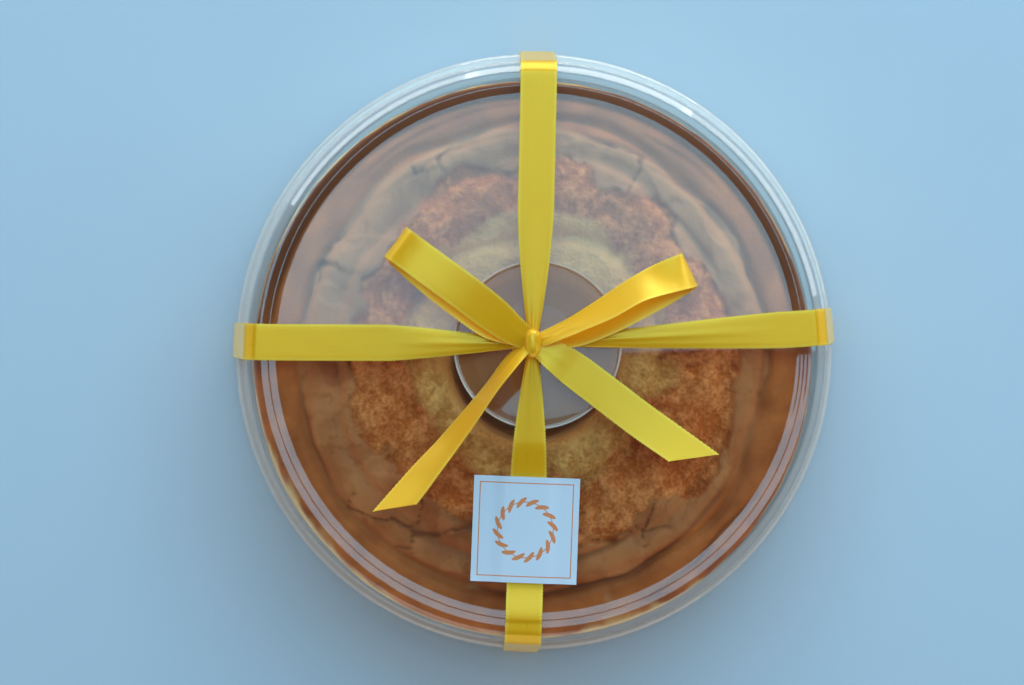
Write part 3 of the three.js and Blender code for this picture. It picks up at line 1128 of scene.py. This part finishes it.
    def dress(self, spots: Spots) -> tuple[Array, dict[str, Array]]:
        """Work out the fine relief and what the finish reads.

        Args:
            spots: Places on the cake.

        Returns:
            Heights to add, and the values for the finish.
        """
        zones = self.zones(spots)
        marks = self.marks(spots, zones)
        flank = self.flank(spots)
        past_hole = spots.radius - self.hole_radius
        inside = (1.0 - smoothstep(spots.radius, *self.outer_fade)) * spots.on_top
        edge = inside * smoothstep(past_hole, *self.hole_fade)
        brink = 1.0 - smoothstep(past_hole, *self.brink_fade)
        # The back half of the top's outer edge is darker: partly baked darker, partly painted shade.
        scorch_and_shade = smoothstep(np.sin(spots.angle), *self.scorch_shade_back) * spots.on_top
        scorch_and_shade = scorch_and_shade * smoothstep(spots.radius, *self.scorch_shade_fade)
        tone = self.tone_plate * marks.plate_tone + self.tone_flake * marks.flake_tone
        tone = tone + self.tone_soft * marks.soft - self.tone_start
        # Painted shade in the crust's cracks, folds, grooves, along the torn edge and on flake edges.
        painted_crevice_shade = self.shade_crack * marks.crack + self.shade_fold * marks.fold
        painted_crevice_shade = painted_crevice_shade + self.shade_groove * marks.groove + self.shade_lip * marks.lip
        painted_crevice_shade = painted_crevice_shade + self.shade_flake * marks.flake_edge * zones.plate * spots.look(self.flake_lines)
        # Painted light: the back half of the top is paled, more on the yolk and the plates, less at the
        # darker edge.
        painted_back_light = zones.back * (self.back_light_base + self.back_light_yolk * zones.yolk + self.back_light_plate * zones.plate)
        # Painted light near the hole's brink and on the yolk's back half; painted shade on the torn crumb's
        # back half.
        painted_light = self.painted_light_yolk * zones.back * zones.yolk + self.painted_light_brink * brink
        values = {
            "torn": zones.torn * edge,
            "yolk": zones.yolk * inside,
            "rim": zones.rim,
            "raised_highlight": smoothstep(marks.pores + self.highlight_clumps * marks.clumps, *self.highlight_fade),
            "tone": zones.plate * tone + self.tone_ridge * marks.ridge,
            "painted_crevice_shade": np.clip(painted_crevice_shade, 0.0, 1.0) * edge,
            "painted_back_light": painted_back_light * (1.0 - scorch_and_shade) * spots.on_top,
            "painted_light": painted_light - self.painted_shade_torn * zones.back * zones.torn,
            "scorch_and_shade": scorch_and_shade,
            "side": flank,
            "tube": flank * (spots.radius < self.tube_radius),
        }
        return self.relief(zones, marks) * edge, values


@dataclass
class Cake:
    """The ring cake, crust side up: its section, its large unevenness and its crust."""

    foot_z: float = 2.45
    shift: Pair = (-1.0, -2.5)
    foot_radius: float = 98.4
    side_lean: Pairs = ((-1.8, 0), (0, 1.5), (0.8, 14), (0.2, 25), (-1, 37), (-2.2, 49), (-3.4, 61))
    crust_line: Pairs = (
        (94, 71), (92.6, 75.8), (89.5, 79), (85, 80.4), (81.5, 80.6), (78.6, 79.4), (75.5, 81.4),
        (71, 81.8), (67, 81.4), (64.5, 83.2), (60, 84.6), (55, 84.8), (50, 83.6), (45.5, 81.6),
        (42.5, 79.6), (40, 81.2), (36.5, 81.6), (32.2, 80.6), (29.2, 78.3), (27.6, 74),
    )
    hole_lean: Pairs = ((0, 66), (-1.4, 50), (-3.8, 26), (-6.6, 2), (-5.6, 0))
    segments: int = 440
    line_steps: int = 400
    top_spacing: float = 0.72
    side_spacing: float = 2.2
    bottom_spacing: float = 9.0
    top_fade: Pair = (66.0, 78.0)
    plate_ring: Ring = Ring(36.0, 84.0, 5.0)
    wander: Swell = Swell(6.4, 24.0, (7.0, 3.0))
    torn_ring: Ring = Ring(43.0, 66.0, 4.0)
    crag: Swell = Swell(3.2, 8.0)
    rolling: Swell = Swell(2.4, 30.0, (19.0, 11.0))
    side_slant: float = 0.7
    side_swell: Swell = Swell(0.8, 14.0)
    side_grain: Rough = Rough(0.7, 5.0, 2, 3.0)
    crust: Crust = Crust()

    def profile(self) -> Array:
        """Run round the ring's section, from the foot up the side, over the crust and down the hole.

        Returns:
            Radius and height over the foot of each row of points.
        """
        side = np.array([(self.foot_radius + lean, z) for lean, z in self.side_lean])
        crust = np.array(self.crust_line)
        hole = np.array([(self.crust.hole_radius + lean, z) for lean, z in self.hole_lean])
        smooth = Line.spline(crust, np.linspace(0.0, 1.0, self.line_steps))
        stretches = (
            Line.spaced(np.vstack((side, crust[:1])), self.side_spacing)[:-1],
            Line.spaced(smooth, self.top_spacing),
            Line.spaced(np.vstack((crust[-1:], hole)), self.side_spacing)[1:-1],
            Line.spaced(np.vstack((hole[-1:], side[:1])), self.bottom_spacing)[:-1],
        )
        return np.vstack(stretches)

    def shaped(self, radius: Array, angle: Array, z: Array) -> Spots:
        """Give the turned section its large unevenness, as the solid has it.

        Args:
            radius: Radius of each point.
            angle: Angle of each point.
            z: Height of each point over the foot.

        Returns:
            The places of the uneven ring.
        """
        on_top = smoothstep(z, *self.top_fade)
        even = Spots(radius * np.cos(angle), radius * np.sin(angle), z, on_top)
        slanted = even.slanted(self.side_slant)
        wander = even.look(self.wander) * self.plate_ring.mark(radius)
        crag = even.look(self.crag) * self.torn_ring.mark(radius)
        side = slanted.look(self.side_swell) + slanted.look(self.side_grain)
        scale = 1.0 + lerp(side, wander, on_top) / radius
        raised = z + on_top * (crag + even.look(self.rolling))
        return Spots(even.x * scale, even.y * scale, raised, on_top)

    def build(self) -> list[bpy.types.Object]:
        """Make the cake.

        Returns:
            The cake's piece alone.
        """
        profile = self.profile()
        radius = np.repeat(profile[:, :1], self.segments, axis=1)
        height = np.repeat(profile[:, 1:], self.segments, axis=1)
        angle = np.broadcast_to(full_turn(self.segments), radius.shape)
        spots = self.shaped(radius, angle, height)
        relief, values = self.crust.dress(spots)
        points = as_points(
            spots.x + self.shift[0], spots.y + self.shift[1], spots.z + relief + self.foot_z,
        )
        faces = grid_faces(len(profile), self.segments, True, True)
        flat_values = {name: numbers.ravel() for name, numbers in values.items()}
        skin = Skin(points, faces, flat_values).outward()
        return [place_piece(skin.piece("chiffon_ring", CrustFinish().material()), "cake")]


@dataclass
class ClearPack:
    """The clear lid and tray, both turned from a thick middle line."""

    thick: float = 0.5
    panel_z: float = PANEL_Z
    dish_radius: float = 26.8
    dish_depth: float = 2.5
    dish_slope: float = 0.6
    dish_reach: float = 30.0
    dish_round: float = 0.25
    dish_flat: float = 0.9
    dish_rings: int = 8
    dish_bend: Triple = (0.6, -0.8, 8.0)
    dish_bend_round: float = 1.5
    dish_tilt: float = 0.03
    dish_shift: Pair = (0.5, 2.5)
    rim_round: float = 0.8
    rim: Pairs = (
        (86.3, 0.0), (88.1, 0.6), (88.8, 0.6), (90.6, 1.2), (91.4, 1.2), (92.8, 0.9), (95.6, -1.1),
    )
    skirt: Pairs = ((104.4, 12.0), (105.2, 10.6), (106.8, 10.3), (107.9, 9.6), (108.0, 7.4))
    tray_line: Pairs = (
        (0.0, 1.9), (72.0, 1.9), (75.0, 1.0), (101.2, 1.0), (102.4, 2.0), (103.3, 8.6), (104.3, 9.5),
        (106.9, 9.5),
    )
    tray_round: float = 1.2
    wave: Swell = Swell(0.05, 55.0, (4.0, 7.0))
    # How much painted shade of the hole lies on the dish floor, and how soft its edge is.
    painted_hole_shade: float = 0.42
    hole_shade_fade: float = 0.3
    # Painted highlight on the dish's edge: how much, and where it fades. Painted light on the flange: its
    # radii and how much.
    crease: float = 0.5
    highlight_full: float = 0.2
    crease_reach: float = 0.6
    flange: Pair = (103.8, 104.8)
    flange_painted_light: float = 0.25
    segments: int = 256
    sharp: float = 50.0

    def lid_line(self) -> Array:
        """Draw the lid's middle line from the axis out to its skirt.

        Returns:
            Radius and height of each point.
        """
        floor = self.panel_z - self.dish_depth
        panel = ((self.dish_radius + self.rim[0][0]) / 2.0, self.panel_z)
        edge = (self.dish_radius + self.dish_slope, self.panel_z)
        rim = [(radius, self.panel_z + rise) for radius, rise in self.rim]
        flat_radii = np.linspace(0.0, self.dish_flat * self.dish_radius, self.dish_rings)
        flat = [(radius, floor) for radius in flat_radii]
        beside = (edge[0] + self.crease_reach, self.panel_z)
        corners = [flat[-1], (self.dish_radius, floor), edge, beside, panel]
        dish = Line.rounded(np.array(corners), self.dish_round)
        outside = Line.rounded(np.array([panel, *rim, *self.skirt]), self.rim_round)
        return np.vstack((flat[:-1], dish, outside[1:]))

    def turned(self, line: Array, shift_inside: float) -> Skin:
        """Turn a middle line round the upright axis and make it thick.

        Args:
            line: Radius and height of each point, from the axis outwards.
            shift_inside: Points within this radius follow the dish's shift.

        Returns:
            The closed sheet.
        """
        along = unit(np.gradient(line, axis=0))
        half = np.column_stack((-along[:, 1], along[:, 0])) * self.thick / 2.0
        half[0] = (0.0, self.thick / 2.0)
        section = np.vstack((line - half, (line + half)[::-1]))
        radius = np.maximum(section[:, :1], SLIGHT)
        turn = full_turn(self.segments)
        x = radius * np.cos(turn)
        y = radius * np.sin(turn)
        moved = radius < shift_inside
        past = self.dish_bend[0] * x + self.dish_bend[1] * y - self.dish_bend[2]
        sunk = moved * np.clip((self.panel_z - section[:, 1:]) / self.dish_depth, 0.0, 1.0)
        x = x + moved * self.dish_shift[0]
        y = y + moved * self.dish_shift[1]
        bent = sunk * self.dish_tilt * (past + np.hypot(past, self.dish_bend_round)) / 2.0
        z = section[:, 1:] + bent + self.wave.at(x, y)
        faces = grid_faces(len(section), self.segments, True, True)
        return Skin(as_points(x, y, z), faces).outward()

    def with_painted_light(self, lid: Skin) -> Skin:
        """Paint shade on the dish's floor, a highlight on its creased edge, and light on the flange.

        Args:
            lid: The lid's sheet.

        Returns:
            The same sheet with the values for its finish.
        """
        x, y = lid.points[:, :2].T
        radius = np.hypot(x - self.dish_shift[0], y - self.dish_shift[1])
        edge = self.dish_radius + self.dish_slope
        # The dish floor takes the painted shade of the hole beneath it.
        floor = 1.0 - smoothstep(radius, self.dish_radius - self.hole_shade_fade, self.dish_radius)
        # A painted highlight on the dish's creased edge.
        crease = 1.0 - smoothstep(radius, edge + self.highlight_full, edge + self.crease_reach)
        crease = (1.0 - floor) * crease
        # Painted light on the flange.
        flange = smoothstep(np.hypot(x, y), *self.flange)
        painted_layer = self.painted_hole_shade * floor + self.crease * crease + self.flange_painted_light * flange
        lid.values = {"painted_layer": painted_layer, "painted_highlight": crease + flange}
        return lid

    def build(self) -> list[bpy.types.Object]:
        """Make the lid and the tray.

        Returns:
            Both pieces.
        """
        finish = PlasticFinish().material()
        lid = self.with_painted_light(self.turned(self.lid_line(), self.dish_reach))
        tray = self.turned(Line.rounded(np.array(self.tray_line), self.tray_round), 0.0)
        return [
            place_piece(lid.piece("clear_lid", finish, self.sharp), "pack_lid"),
            place_piece(tray.piece("clear_tray", finish, self.sharp), "pack_base"),
        ]


@dataclass(frozen=True)
class Arm:
    """One arm of the ribbon: its azimuth, the length and least width of its gathers, and their flare."""

    azimuth: float
    gather: float
    neck: float
    flare: float


@dataclass(frozen=True)
class Run:
    """One loop or tail of the bow.

    Stations are distance from the knot, sideways, height over the panel, roll in degrees and width.
    Sideways is positive towards the back for a loop and to the left for a tail.
    """

    azimuth: float
    to_back: bool
    stations: tuple[tuple[float, float, float, float, float], ...]
    skew: float = 0.0


@dataclass
class Strip:
    """A length of ribbon as stations along its middle.

    Each has its place, its way across, its width, how high its middle is creased, and how far its edges
    are skewed along the strip. A level length stays level across.
    """

    place: Array
    across: Array
    width: Array
    crease: Array
    skew: Array
    level: bool

    def reversed(self) -> "Strip":
        """Run the same length the other way.

        Returns:
            A new strip.
        """
        back = slice(None, None, -1)
        parts = (self.place, -self.across, self.width, self.crease, self.skew)
        return Strip(*(part[back] for part in parts), self.level)

    def followed(self, other: "Strip") -> "Strip":
        """Put another length after this one.

        Args:
            other: The length that follows.

        Returns:
            A new strip of both.
        """
        names = ("place", "across", "width", "crease", "skew")
        parts = (np.concatenate((getattr(self, name), getattr(other, name))) for name in names)
        return Strip(*parts, self.level)


@dataclass
class Ribbon:
    """One satin strip: two turns round the pack, the knot, two loops and two tails."""

    width: float = 12.0
    thick: float = 0.4
    edge_share: float = 0.6
    panel_z: float = PANEL_Z
    spacing: float = 0.55
    line_steps: int = 800
    lanes: int = 12
    picot: float = 0.15
    sharp: float = 60.0
    knot: Triple = (-1.0, 3.0, 98.1)
    knot_radius: float = 3.0
    knot_half: float = 4.9
    knot_rings: int = 49
    knot_segments: int = 72
    knot_power: int = 3
    knot_slant: float = 0.45
    knot_draw: float = 0.04
    knot_folds: tuple[Triple, ...] = ((0.04, 3.0, 0.6), (0.015, 8.0, 1.0))
    arm_rise: float = 1.1
    front_rise: float = 2.2
    crease_height: float = 0.9
    crease_power: float = 1.2
    pleat_share: float = 0.12
    pleat_waves: float = 3.0
    right: Arm = Arm(5.1, 82.0, 1.8, 1.2)
    back: Arm = Arm(89.4, 46.0, 2.6, 1.6)
    left: Arm = Arm(177.8, 48.0, 1.8, 1.2)
    front: Arm = Arm(267.4, 46.0, 2.6, 1.6)
    rim_route: Pairs = (
        (89.0, 95.95), (92.2, 95.95), (93.2, 95.7), (95.5, 94.15), (96.5, 93.2), (108.75, 10.2),
        (108.8, 7.2), (108.0, 6.3), (103.6, 1.2), (101.0, 0.2),
    )
    rim_round: float = 1.2
    crossing_half: float = 16.0
    crossing_flat: float = 7.0
    crossing_lift: float = 0.35
    label_y: float = LABEL_CENTRE[1]
    label_half: float = LABEL_SIDE / 2.0
    label_hold: float = 12.0
    pressed_z: float = 94.75
    runs: tuple[Run, ...] = (
        Run(143.7, True, (
            (2, 0, 4.0, 0, 7.5), (8, -0.3, 6.4, 0, 9.6), (16, 0, 9.0, 0, 11.6), (27, 0.2, 11.2, 0, 12),
            (39, 0.2, 11.6, 0, 12), (49, 0.2, 10.2, 0, 12), (54.4, 0.2, 8.0, 0, 12), (56, 0.1, 5.6, 0, 12),
            (54.2, -0.4, 3.3, 0, 12), (48, -1.4, 2.2, 0, 12), (37, -2.3, 2.0, 4, 12),
            (26, -2.5, 2.3, 6, 12), (15, -2.6, 3.0, 8, 11), (8, -1.6, 3.4, 6, 8), (2, 0, 3.7, 0, 5.5),
        )),
        Run(24.9, True, (
            (2, 0, 4.2, 25, 5), (8, -0.2, 6.9, 44, 6.5), (16, 0, 9.6, 50, 9), (27, 0.5, 11.6, 50, 12),
            (39, 1.7, 11.8, 43, 12), (49, 1.2, 10.4, 24, 12), (54.8, 0.5, 8.2, 12, 12),
            (56.8, 0.3, 5.8, 6, 12), (54.8, -0.3, 3.4, 6, 12), (48, -1.2, 2.4, 6, 12),
            (37, -2.0, 2.5, 10, 12), (26, -2.4, 2.8, 12, 12), (15, -2.4, 3.2, 14, 10.5),
            (8, -1.4, 3.6, 10, 8), (2, 0, 3.8, 0, 5),
        )),
        Run(229.9, False, (
            (2, -1.0, 4.0, -40, 5), (9, -1.6, 4.8, -54, 8), (18, -1.2, 6.2, -68, 11.5),
            (32, -0.4, 6.2, -62, 12), (46, 0, 5.7, -54, 12), (58, 0, 5.0, -44, 12), (70.6, 0, 4.7, -38, 12),
        ), -5.9),
        Run(-35.4, False, (
            (2, 0.4, 4.6, 0, 7), (8, 0.8, 5.2, 8, 10), (16, 0.8, 4.0, 10, 11.8), (30, 0.4, 2.4, 8, 12),
            (43, 0, 2.0, 8, 12), (54, 0, 2.4, 12, 12), (65, 0, 3.2, 16, 12),
        ), 6.1),
    )
    tail_cut_from: float = 0.75

    def arm(self, arm: Arm) -> Strip:
        """Lay one arm from the knot to the rim.

        Args:
            arm: Which arm.

        Returns:
            Its stations, running outwards.
        """
        out = flat_direction(arm.azimuth)
        start = np.array((*self.knot[:2], self.panel_z + self.arm_rise))
        rim = out * self.rim_route[0][0] + UP * self.rim_route[0][1]
        length = np.linalg.norm(rim - start)
        part = np.linspace(0.0, 1.0, int(length / self.spacing))[:-1]
        place = start + (rim - start) * part[:, None]
        if arm is self.front:
            away = np.abs(place[:, 1] - self.label_y) - self.label_half
            freed = smoothstep(away, 0.0, self.label_hold)
            place[:, 2] = lerp(self.pressed_z, self.panel_z + self.front_rise, freed)
        spread = 1.0 - (1.0 - np.minimum(part * length / arm.gather, 1.0)) ** arm.flare
        across = unit(np.cross(UP, (rim - start) * (1.0, 1.0, 0.0)))
        return Strip(
            place,
            np.tile(across, (len(part), 1)),
            lerp(arm.neck, self.width, spread),
            self.crease_height * (1.0 - spread),
            np.zeros(len(part)),
            True,
        )

    def plain(self, place: Array, across: Array) -> Strip:
        """Lay a flat length of full width along places."""
        none = np.zeros(len(place))
        return Strip(place, np.broadcast_to(across, place.shape), none + self.width, none, none, True)

    def drop(self, arm: Arm) -> Strip:
        """Lay the ribbon over the rim, down the side, round the flange and in to the foot.

        Args:
            arm: Which arm it goes on from.

        Returns:
            Its stations, running outwards and down.
        """
        out = flat_direction(arm.azimuth)
        route = Line.spaced(Line.rounded(np.array(self.rim_route), self.rim_round), self.spacing)
        return self.plain(out * route[:, :1] + UP * route[:, 1:], np.cross(UP, out))

    def wrap(self, near: Arm, far: Arm, lifted: bool) -> Strip:
        """Lay one whole turn round the pack, from the knot and back to it.

        Args:
            near: Arm that the turn starts with.
            far: Arm that it comes back along.
            lifted: Whether it passes over the other turn under the pack.

        Returns:
            The turn's stations.
        """
        leave = self.arm(near).followed(self.drop(near))
        arrive = self.arm(far).followed(self.drop(far)).reversed()
        under = Line.spaced(np.vstack((leave.place[-1], arrive.place[0])), self.spacing)[1:-1]
        part = np.linspace(0.0, 1.0, len(under))[:, None]
        if lifted:
            length = np.linalg.norm(arrive.place[0] - leave.place[-1])
            offset = np.abs(part[:, 0] - 0.5) * length
            under[:, 2] += self.crossing_lift * smoothstep(offset, self.crossing_half, self.crossing_flat)
        across = unit(lerp(leave.across[-1], arrive.across[0], part))
        return leave.followed(self.plain(under, across)).followed(arrive)

    def bow(self, run: Run) -> Strip:
        """Lay one loop or tail of the bow.

        Args:
            run: Its listed stations.

        Returns:
            Its stations at an even spacing.
        """
        out = flat_direction(run.azimuth)
        left = np.cross(UP, out)
        sideways = -left if run.to_back and left[1] < 0 else left
        table = np.array(run.stations, dtype=float)
        base = np.array((*self.knot[:2], self.panel_z))
        corners = base + table[:, :1] * out + table[:, 1:2] * sideways + table[:, 2:3] * UP
        fine = np.linspace(0.0, 1.0, self.line_steps)
        along = Line.lengths(Line.spline(corners, fine))
        part = np.interp(np.arange(0.0, along[-1], self.spacing), along, fine)
        part = np.append(part, 1.0)
        roll, width = Line.spline(table[:, 3:5], part, 0.0).T
        roll = np.radians(roll)
        drop = np.sin(roll) * (-1.0 if left @ sideways > 0 else 1.0)
        crease = self.crease_height * np.clip((self.width - width) / self.width, 0.0, 1.0)
        return Strip(
            Line.spline(corners, part),
            np.cos(roll)[:, None] * left + drop[:, None] * UP,
            width,
            crease,
            run.skew * smoothstep(part, self.tail_cut_from, 1.0),
            False,
        )

    def band(self, strip: Strip) -> Skin:
        """Weave a strip: two faces, joined at its corded edges and its ends.

        Args:
            strip: Stations of the strip.

        Returns:
            The closed band.
        """
        along = unit(np.gradient(strip.place, axis=0))
        across = np.array(strip.across)
        if not strip.level:
            across = unit(across - along * (across * along).sum(axis=1, keepdims=True))
        face = unit(np.cross(along, across))
        lane = np.linspace(-1.0, 1.0, self.lanes + 1)
        teeth = self.picot * np.where(np.arange(len(along)) % 2, 1.0, -1.0)
        reach = lane * strip.width[:, None] / 2.0
        reach[:, 0] -= teeth
        reach[:, -1] += teeth
        pleats = self.pleat_share * np.cos(self.pleat_waves * math.pi * lane)
        lift = strip.crease[:, None] * (1.0 - np.abs(lane) ** self.crease_power + pleats)
        middle = strip.place[:, None] + across[:, None] * reach[..., None] + face[:, None] * lift[..., None]
        middle = middle + along[:, None] * (strip.skew[:, None] * lane)[..., None]
        half = np.full(lane.shape, self.thick / 2.0)
        half[[0, -1]] *= self.edge_share
        outer = middle + face[:, None] * half[:, None]
        inner = middle - face[:, None] * half[:, None]
        rings = np.concatenate((outer, inner[:, ::-1]), axis=1)
        count, ring = rings.shape[:2]
        sides = grid_faces(count, ring, False, True)
        first = np.arange(self.lanes)
        cap = np.column_stack((first, first + 1, ring - 2 - first, ring - 1 - first))
        faces = np.vstack((sides, cap[:, ::-1], cap + (count - 1) * ring))
        lanes = np.concatenate((lane, lane[::-1]))
        values = {
            "across": np.concatenate((reach, reach[:, ::-1]), axis=1).ravel(),
            "along": np.repeat(Line.lengths(strip.place), ring),
            "selvedge": np.tile(np.abs(lanes), count),
        }
        return Skin(rings.reshape(-1, 3), faces, values).outward()

    def tied(self) -> Skin:
        """Make the knot: the strip's tight wrap over the bow's middle, with slanting folds.

        Returns:
            The closed barrel, lying along Y.
        """
        t = np.linspace(-1.0, 1.0, self.knot_rings)[:, None]
        turn = full_turn(self.knot_segments)
        swell = np.sqrt(np.maximum(1.0 - np.abs(t) ** self.knot_power, SLIGHT))
        slanted = turn - self.knot_slant * t
        folds = sum(height * np.cos(waves * slanted + start) for height, waves, start in self.knot_folds)
        radius = self.knot_radius * swell * (1.0 + folds - self.knot_draw)
        x = self.knot[0] + radius * np.cos(turn)
        y = np.broadcast_to(self.knot[1] + t * self.knot_half, x.shape)
        z = self.knot[2] + radius * np.sin(turn)
        values = {
            "across": np.broadcast_to(turn * self.knot_radius, x.shape).ravel(),
            "along": np.broadcast_to(t * self.knot_half, x.shape).ravel(),
            "selvedge": np.zeros(x.size),
        }
        return Skin(as_points(x, y, z), grid_faces(*x.shape, False, True), values).outward()

    def build(self) -> list[bpy.types.Object]:
        """Make the whole ribbon as one piece.

        Returns:
            The ribbon's piece alone.
        """
        strips = [self.wrap(self.right, self.left, False), self.wrap(self.back, self.front, True)]
        strips += [self.bow(run) for run in self.runs]
        whole = self.tied()
        for strip in strips:
            whole = whole.joined(self.band(strip))
        length = sum(Line.lengths(strip.place)[-1] for strip in strips)
        made = whole.piece("satin_ribbon", SatinFinish().material(), self.sharp)
        place_piece(made, "ribbon")
        LOG.info("ribbon strip: %.0f mm", length)
        self.width * MM
        return [made]


@dataclass
class Label:
    """The square sticker, which bridges the ribbon's front arm."""

    side: float = LABEL_SIDE
    thick: float = 0.25
    centre: Pair = LABEL_CENTRE
    turn: float = -2.2
    low_z: float = 94.55
    high_z: float = 95.25
    bridge: Pair = (6.6, 11.5)
    corner: Pair = (1.75, 2.0)
    lift: float = 0.25
    cells: int = 70
    sharp: float = 40.0

    def build(self) -> list[bpy.types.Object]:
        """Make the label.

        Returns:
            The label's piece alone.
        """
        half = self.side / 2.0
        ticks = np.linspace(-half, half, self.cells + 1)
        x, y = np.meshgrid(ticks, ticks, indexing="ij")
        under = lerp(self.high_z, self.low_z, smoothstep(np.abs(x), *self.bridge))
        under = under + self.lift * smoothstep((np.abs(x) + np.abs(y)) / half, *self.corner)
        angle = math.radians(self.turn)
        place_x = self.centre[0] + x * math.cos(angle) - y * math.sin(angle)
        place_y = self.centre[1] + x * math.sin(angle) + y * math.cos(angle)
        layers = [as_points(place_x, place_y, under + rise) for rise in (0.0, self.thick)]
        faces = grid_faces(self.cells + 1, self.cells + 1, False, False)
        count = (self.cells + 1) ** 2
        border = self.border(self.cells + 1)
        after = np.roll(border, -1)
        walls = np.column_stack((border, after, after + count, border + count))
        values = {"label_x": np.tile(x.ravel(), 2), "label_y": np.tile(y.ravel(), 2)}
        skin = Skin(np.vstack(layers), np.vstack((faces[:, ::-1], faces + count, walls)), values).outward()
        made = skin.piece("label_sticker", LabelFinish().material(), self.sharp)
        return [place_piece(made, "label")]

    @staticmethod
    def border(count: int) -> Array:
        """Walk round the edge of a square grid of points.

        Args:
            count: Points along a side.

        Returns:
            The edge's point numbers in order.
        """
        step = np.arange(count - 1)
        last = count - 1
        return np.concatenate((
            step * count, last * count + step, (last - step) * count + last, last - step,
        ))


@dataclass(frozen=True)
class SoftLight:
    """A rectangular soft light: its middle and size in metres, and its brightness as a surface."""

    name: str
    place: Triple
    size: Pair
    power: float
    colour: Colour
    level: bool = False

    def hang(self) -> None:
        """Put the light in the scene, level or turned to the pack."""
        data = bpy.data.lights.new(self.name, "AREA")
        data.shape = "RECTANGLE"
        data.size, data.size_y = self.size
        data.color = self.colour
        data.energy = self.power * math.pi * self.size[0] * self.size[1]
        made = bpy.data.objects.new(self.name, data)
        made.location = self.place
        if not self.level:
            made.rotation_euler = (-made.location).to_track_quat("-Z", "Y").to_euler()
        bpy.context.scene.collection.objects.link(made)


@dataclass
class Studio:
    """Pale table, soft light from overhead, windows and a front wall, and the camera straight above."""

    camera_place: Triple = (-7.89, 3.33, 950.0)
    sensor: float = 36.0
    focal_pixels: float = 2591.0
    image_width: float = 1024.0
    floor_half: float = 20000.0
    floor_z: float = -0.3
    ceiling: Colour = (0.05, 0.048, 0.05)
    walls: Colour = (0.92, 0.93, 0.90)
    wall_top: Pair = (0.30, 0.55)
    lights: tuple[SoftLight, ...] = (
        SoftLight("overhead", (0.25, 0.998, 1.9), (2.4, 2.0), 2.7, (0.38, 0.77, 1.0), True),
        SoftLight("window_back", (0.43, 2.46, 0.70), (2.2, 0.6), 6.2, (0.86, 0.97, 1.0)),
        SoftLight("window_right", (2.05, 1.43, 0.70), (2.2, 0.42), 3.8, (0.84, 0.96, 1.0)),
        SoftLight("window_left", (-1.43, 2.05, 0.70), (2.2, 0.2), 5.0, (0.84, 0.96, 1.0)),
        SoftLight("front_wall", (0.0, -2.1, 1.1), (3.0, 0.8), 0.9, (1.0, 0.87, 0.74)),
    )

    def camera(self) -> None:
        """Set the camera straight above the pack."""
        data = bpy.data.cameras.new("camera")
        data.sensor_width = self.sensor
        data.lens = self.focal_pixels / self.image_width * self.sensor
        made = bpy.data.objects.new("camera", data)
        made.location = [part * MM for part in self.camera_place]
        bpy.context.scene.collection.objects.link(made)
        bpy.context.scene.camera = made

    def table(self) -> None:
        """Lay the table top."""
        ways = ((-1.0, -1.0), (1.0, -1.0), (1.0, 1.0), (-1.0, 1.0))
        corners = np.array([(x * self.floor_half, y * self.floor_half, self.floor_z) for x, y in ways])
        made = Skin(corners, np.array([(0, 1, 2, 3)])).piece("table", TableFinish().material())

    def room(self) -> None:
        """Surround the table with pale walls under a dark ceiling."""
        paint = Paint(bpy.data.worlds.new("room"))
        way = paint.term("ShaderNodeTexCoord", {}, {}, "Generated")
        height = paint.term("ShaderNodeSeparateXYZ", {}, {"Vector": way}, "Z")
        colour = paint.blend(height.eased(*self.wall_top), self.walls, self.ceiling)
        glow = paint.term("ShaderNodeBackground", {}, {"Color": colour})
        paint.node("ShaderNodeOutputWorld", {}, {"Surface": glow})
        bpy.context.scene.world = paint.owner

    def build(self) -> None:
        """Set up table, lights, room and camera."""
        self.camera()
        self.table()
        for light in self.lights:
            light.hang()
        self.room()
        bpy.context.scene.view_settings.view_transform = "Standard"


def main() -> None:
    """Build the studio and every piece, report each piece, and note the sizes."""
    logging.basicConfig(level=logging.INFO, format="%(message)s")
    Studio().build()
    for assembly in (Cake(), ClearPack(), Ribbon(), Label()):
        for made in assembly.build():
            LOG.info("%s: %d faces", made.name, len(made.data.polygons))


if __name__ == "__main__":
    main()
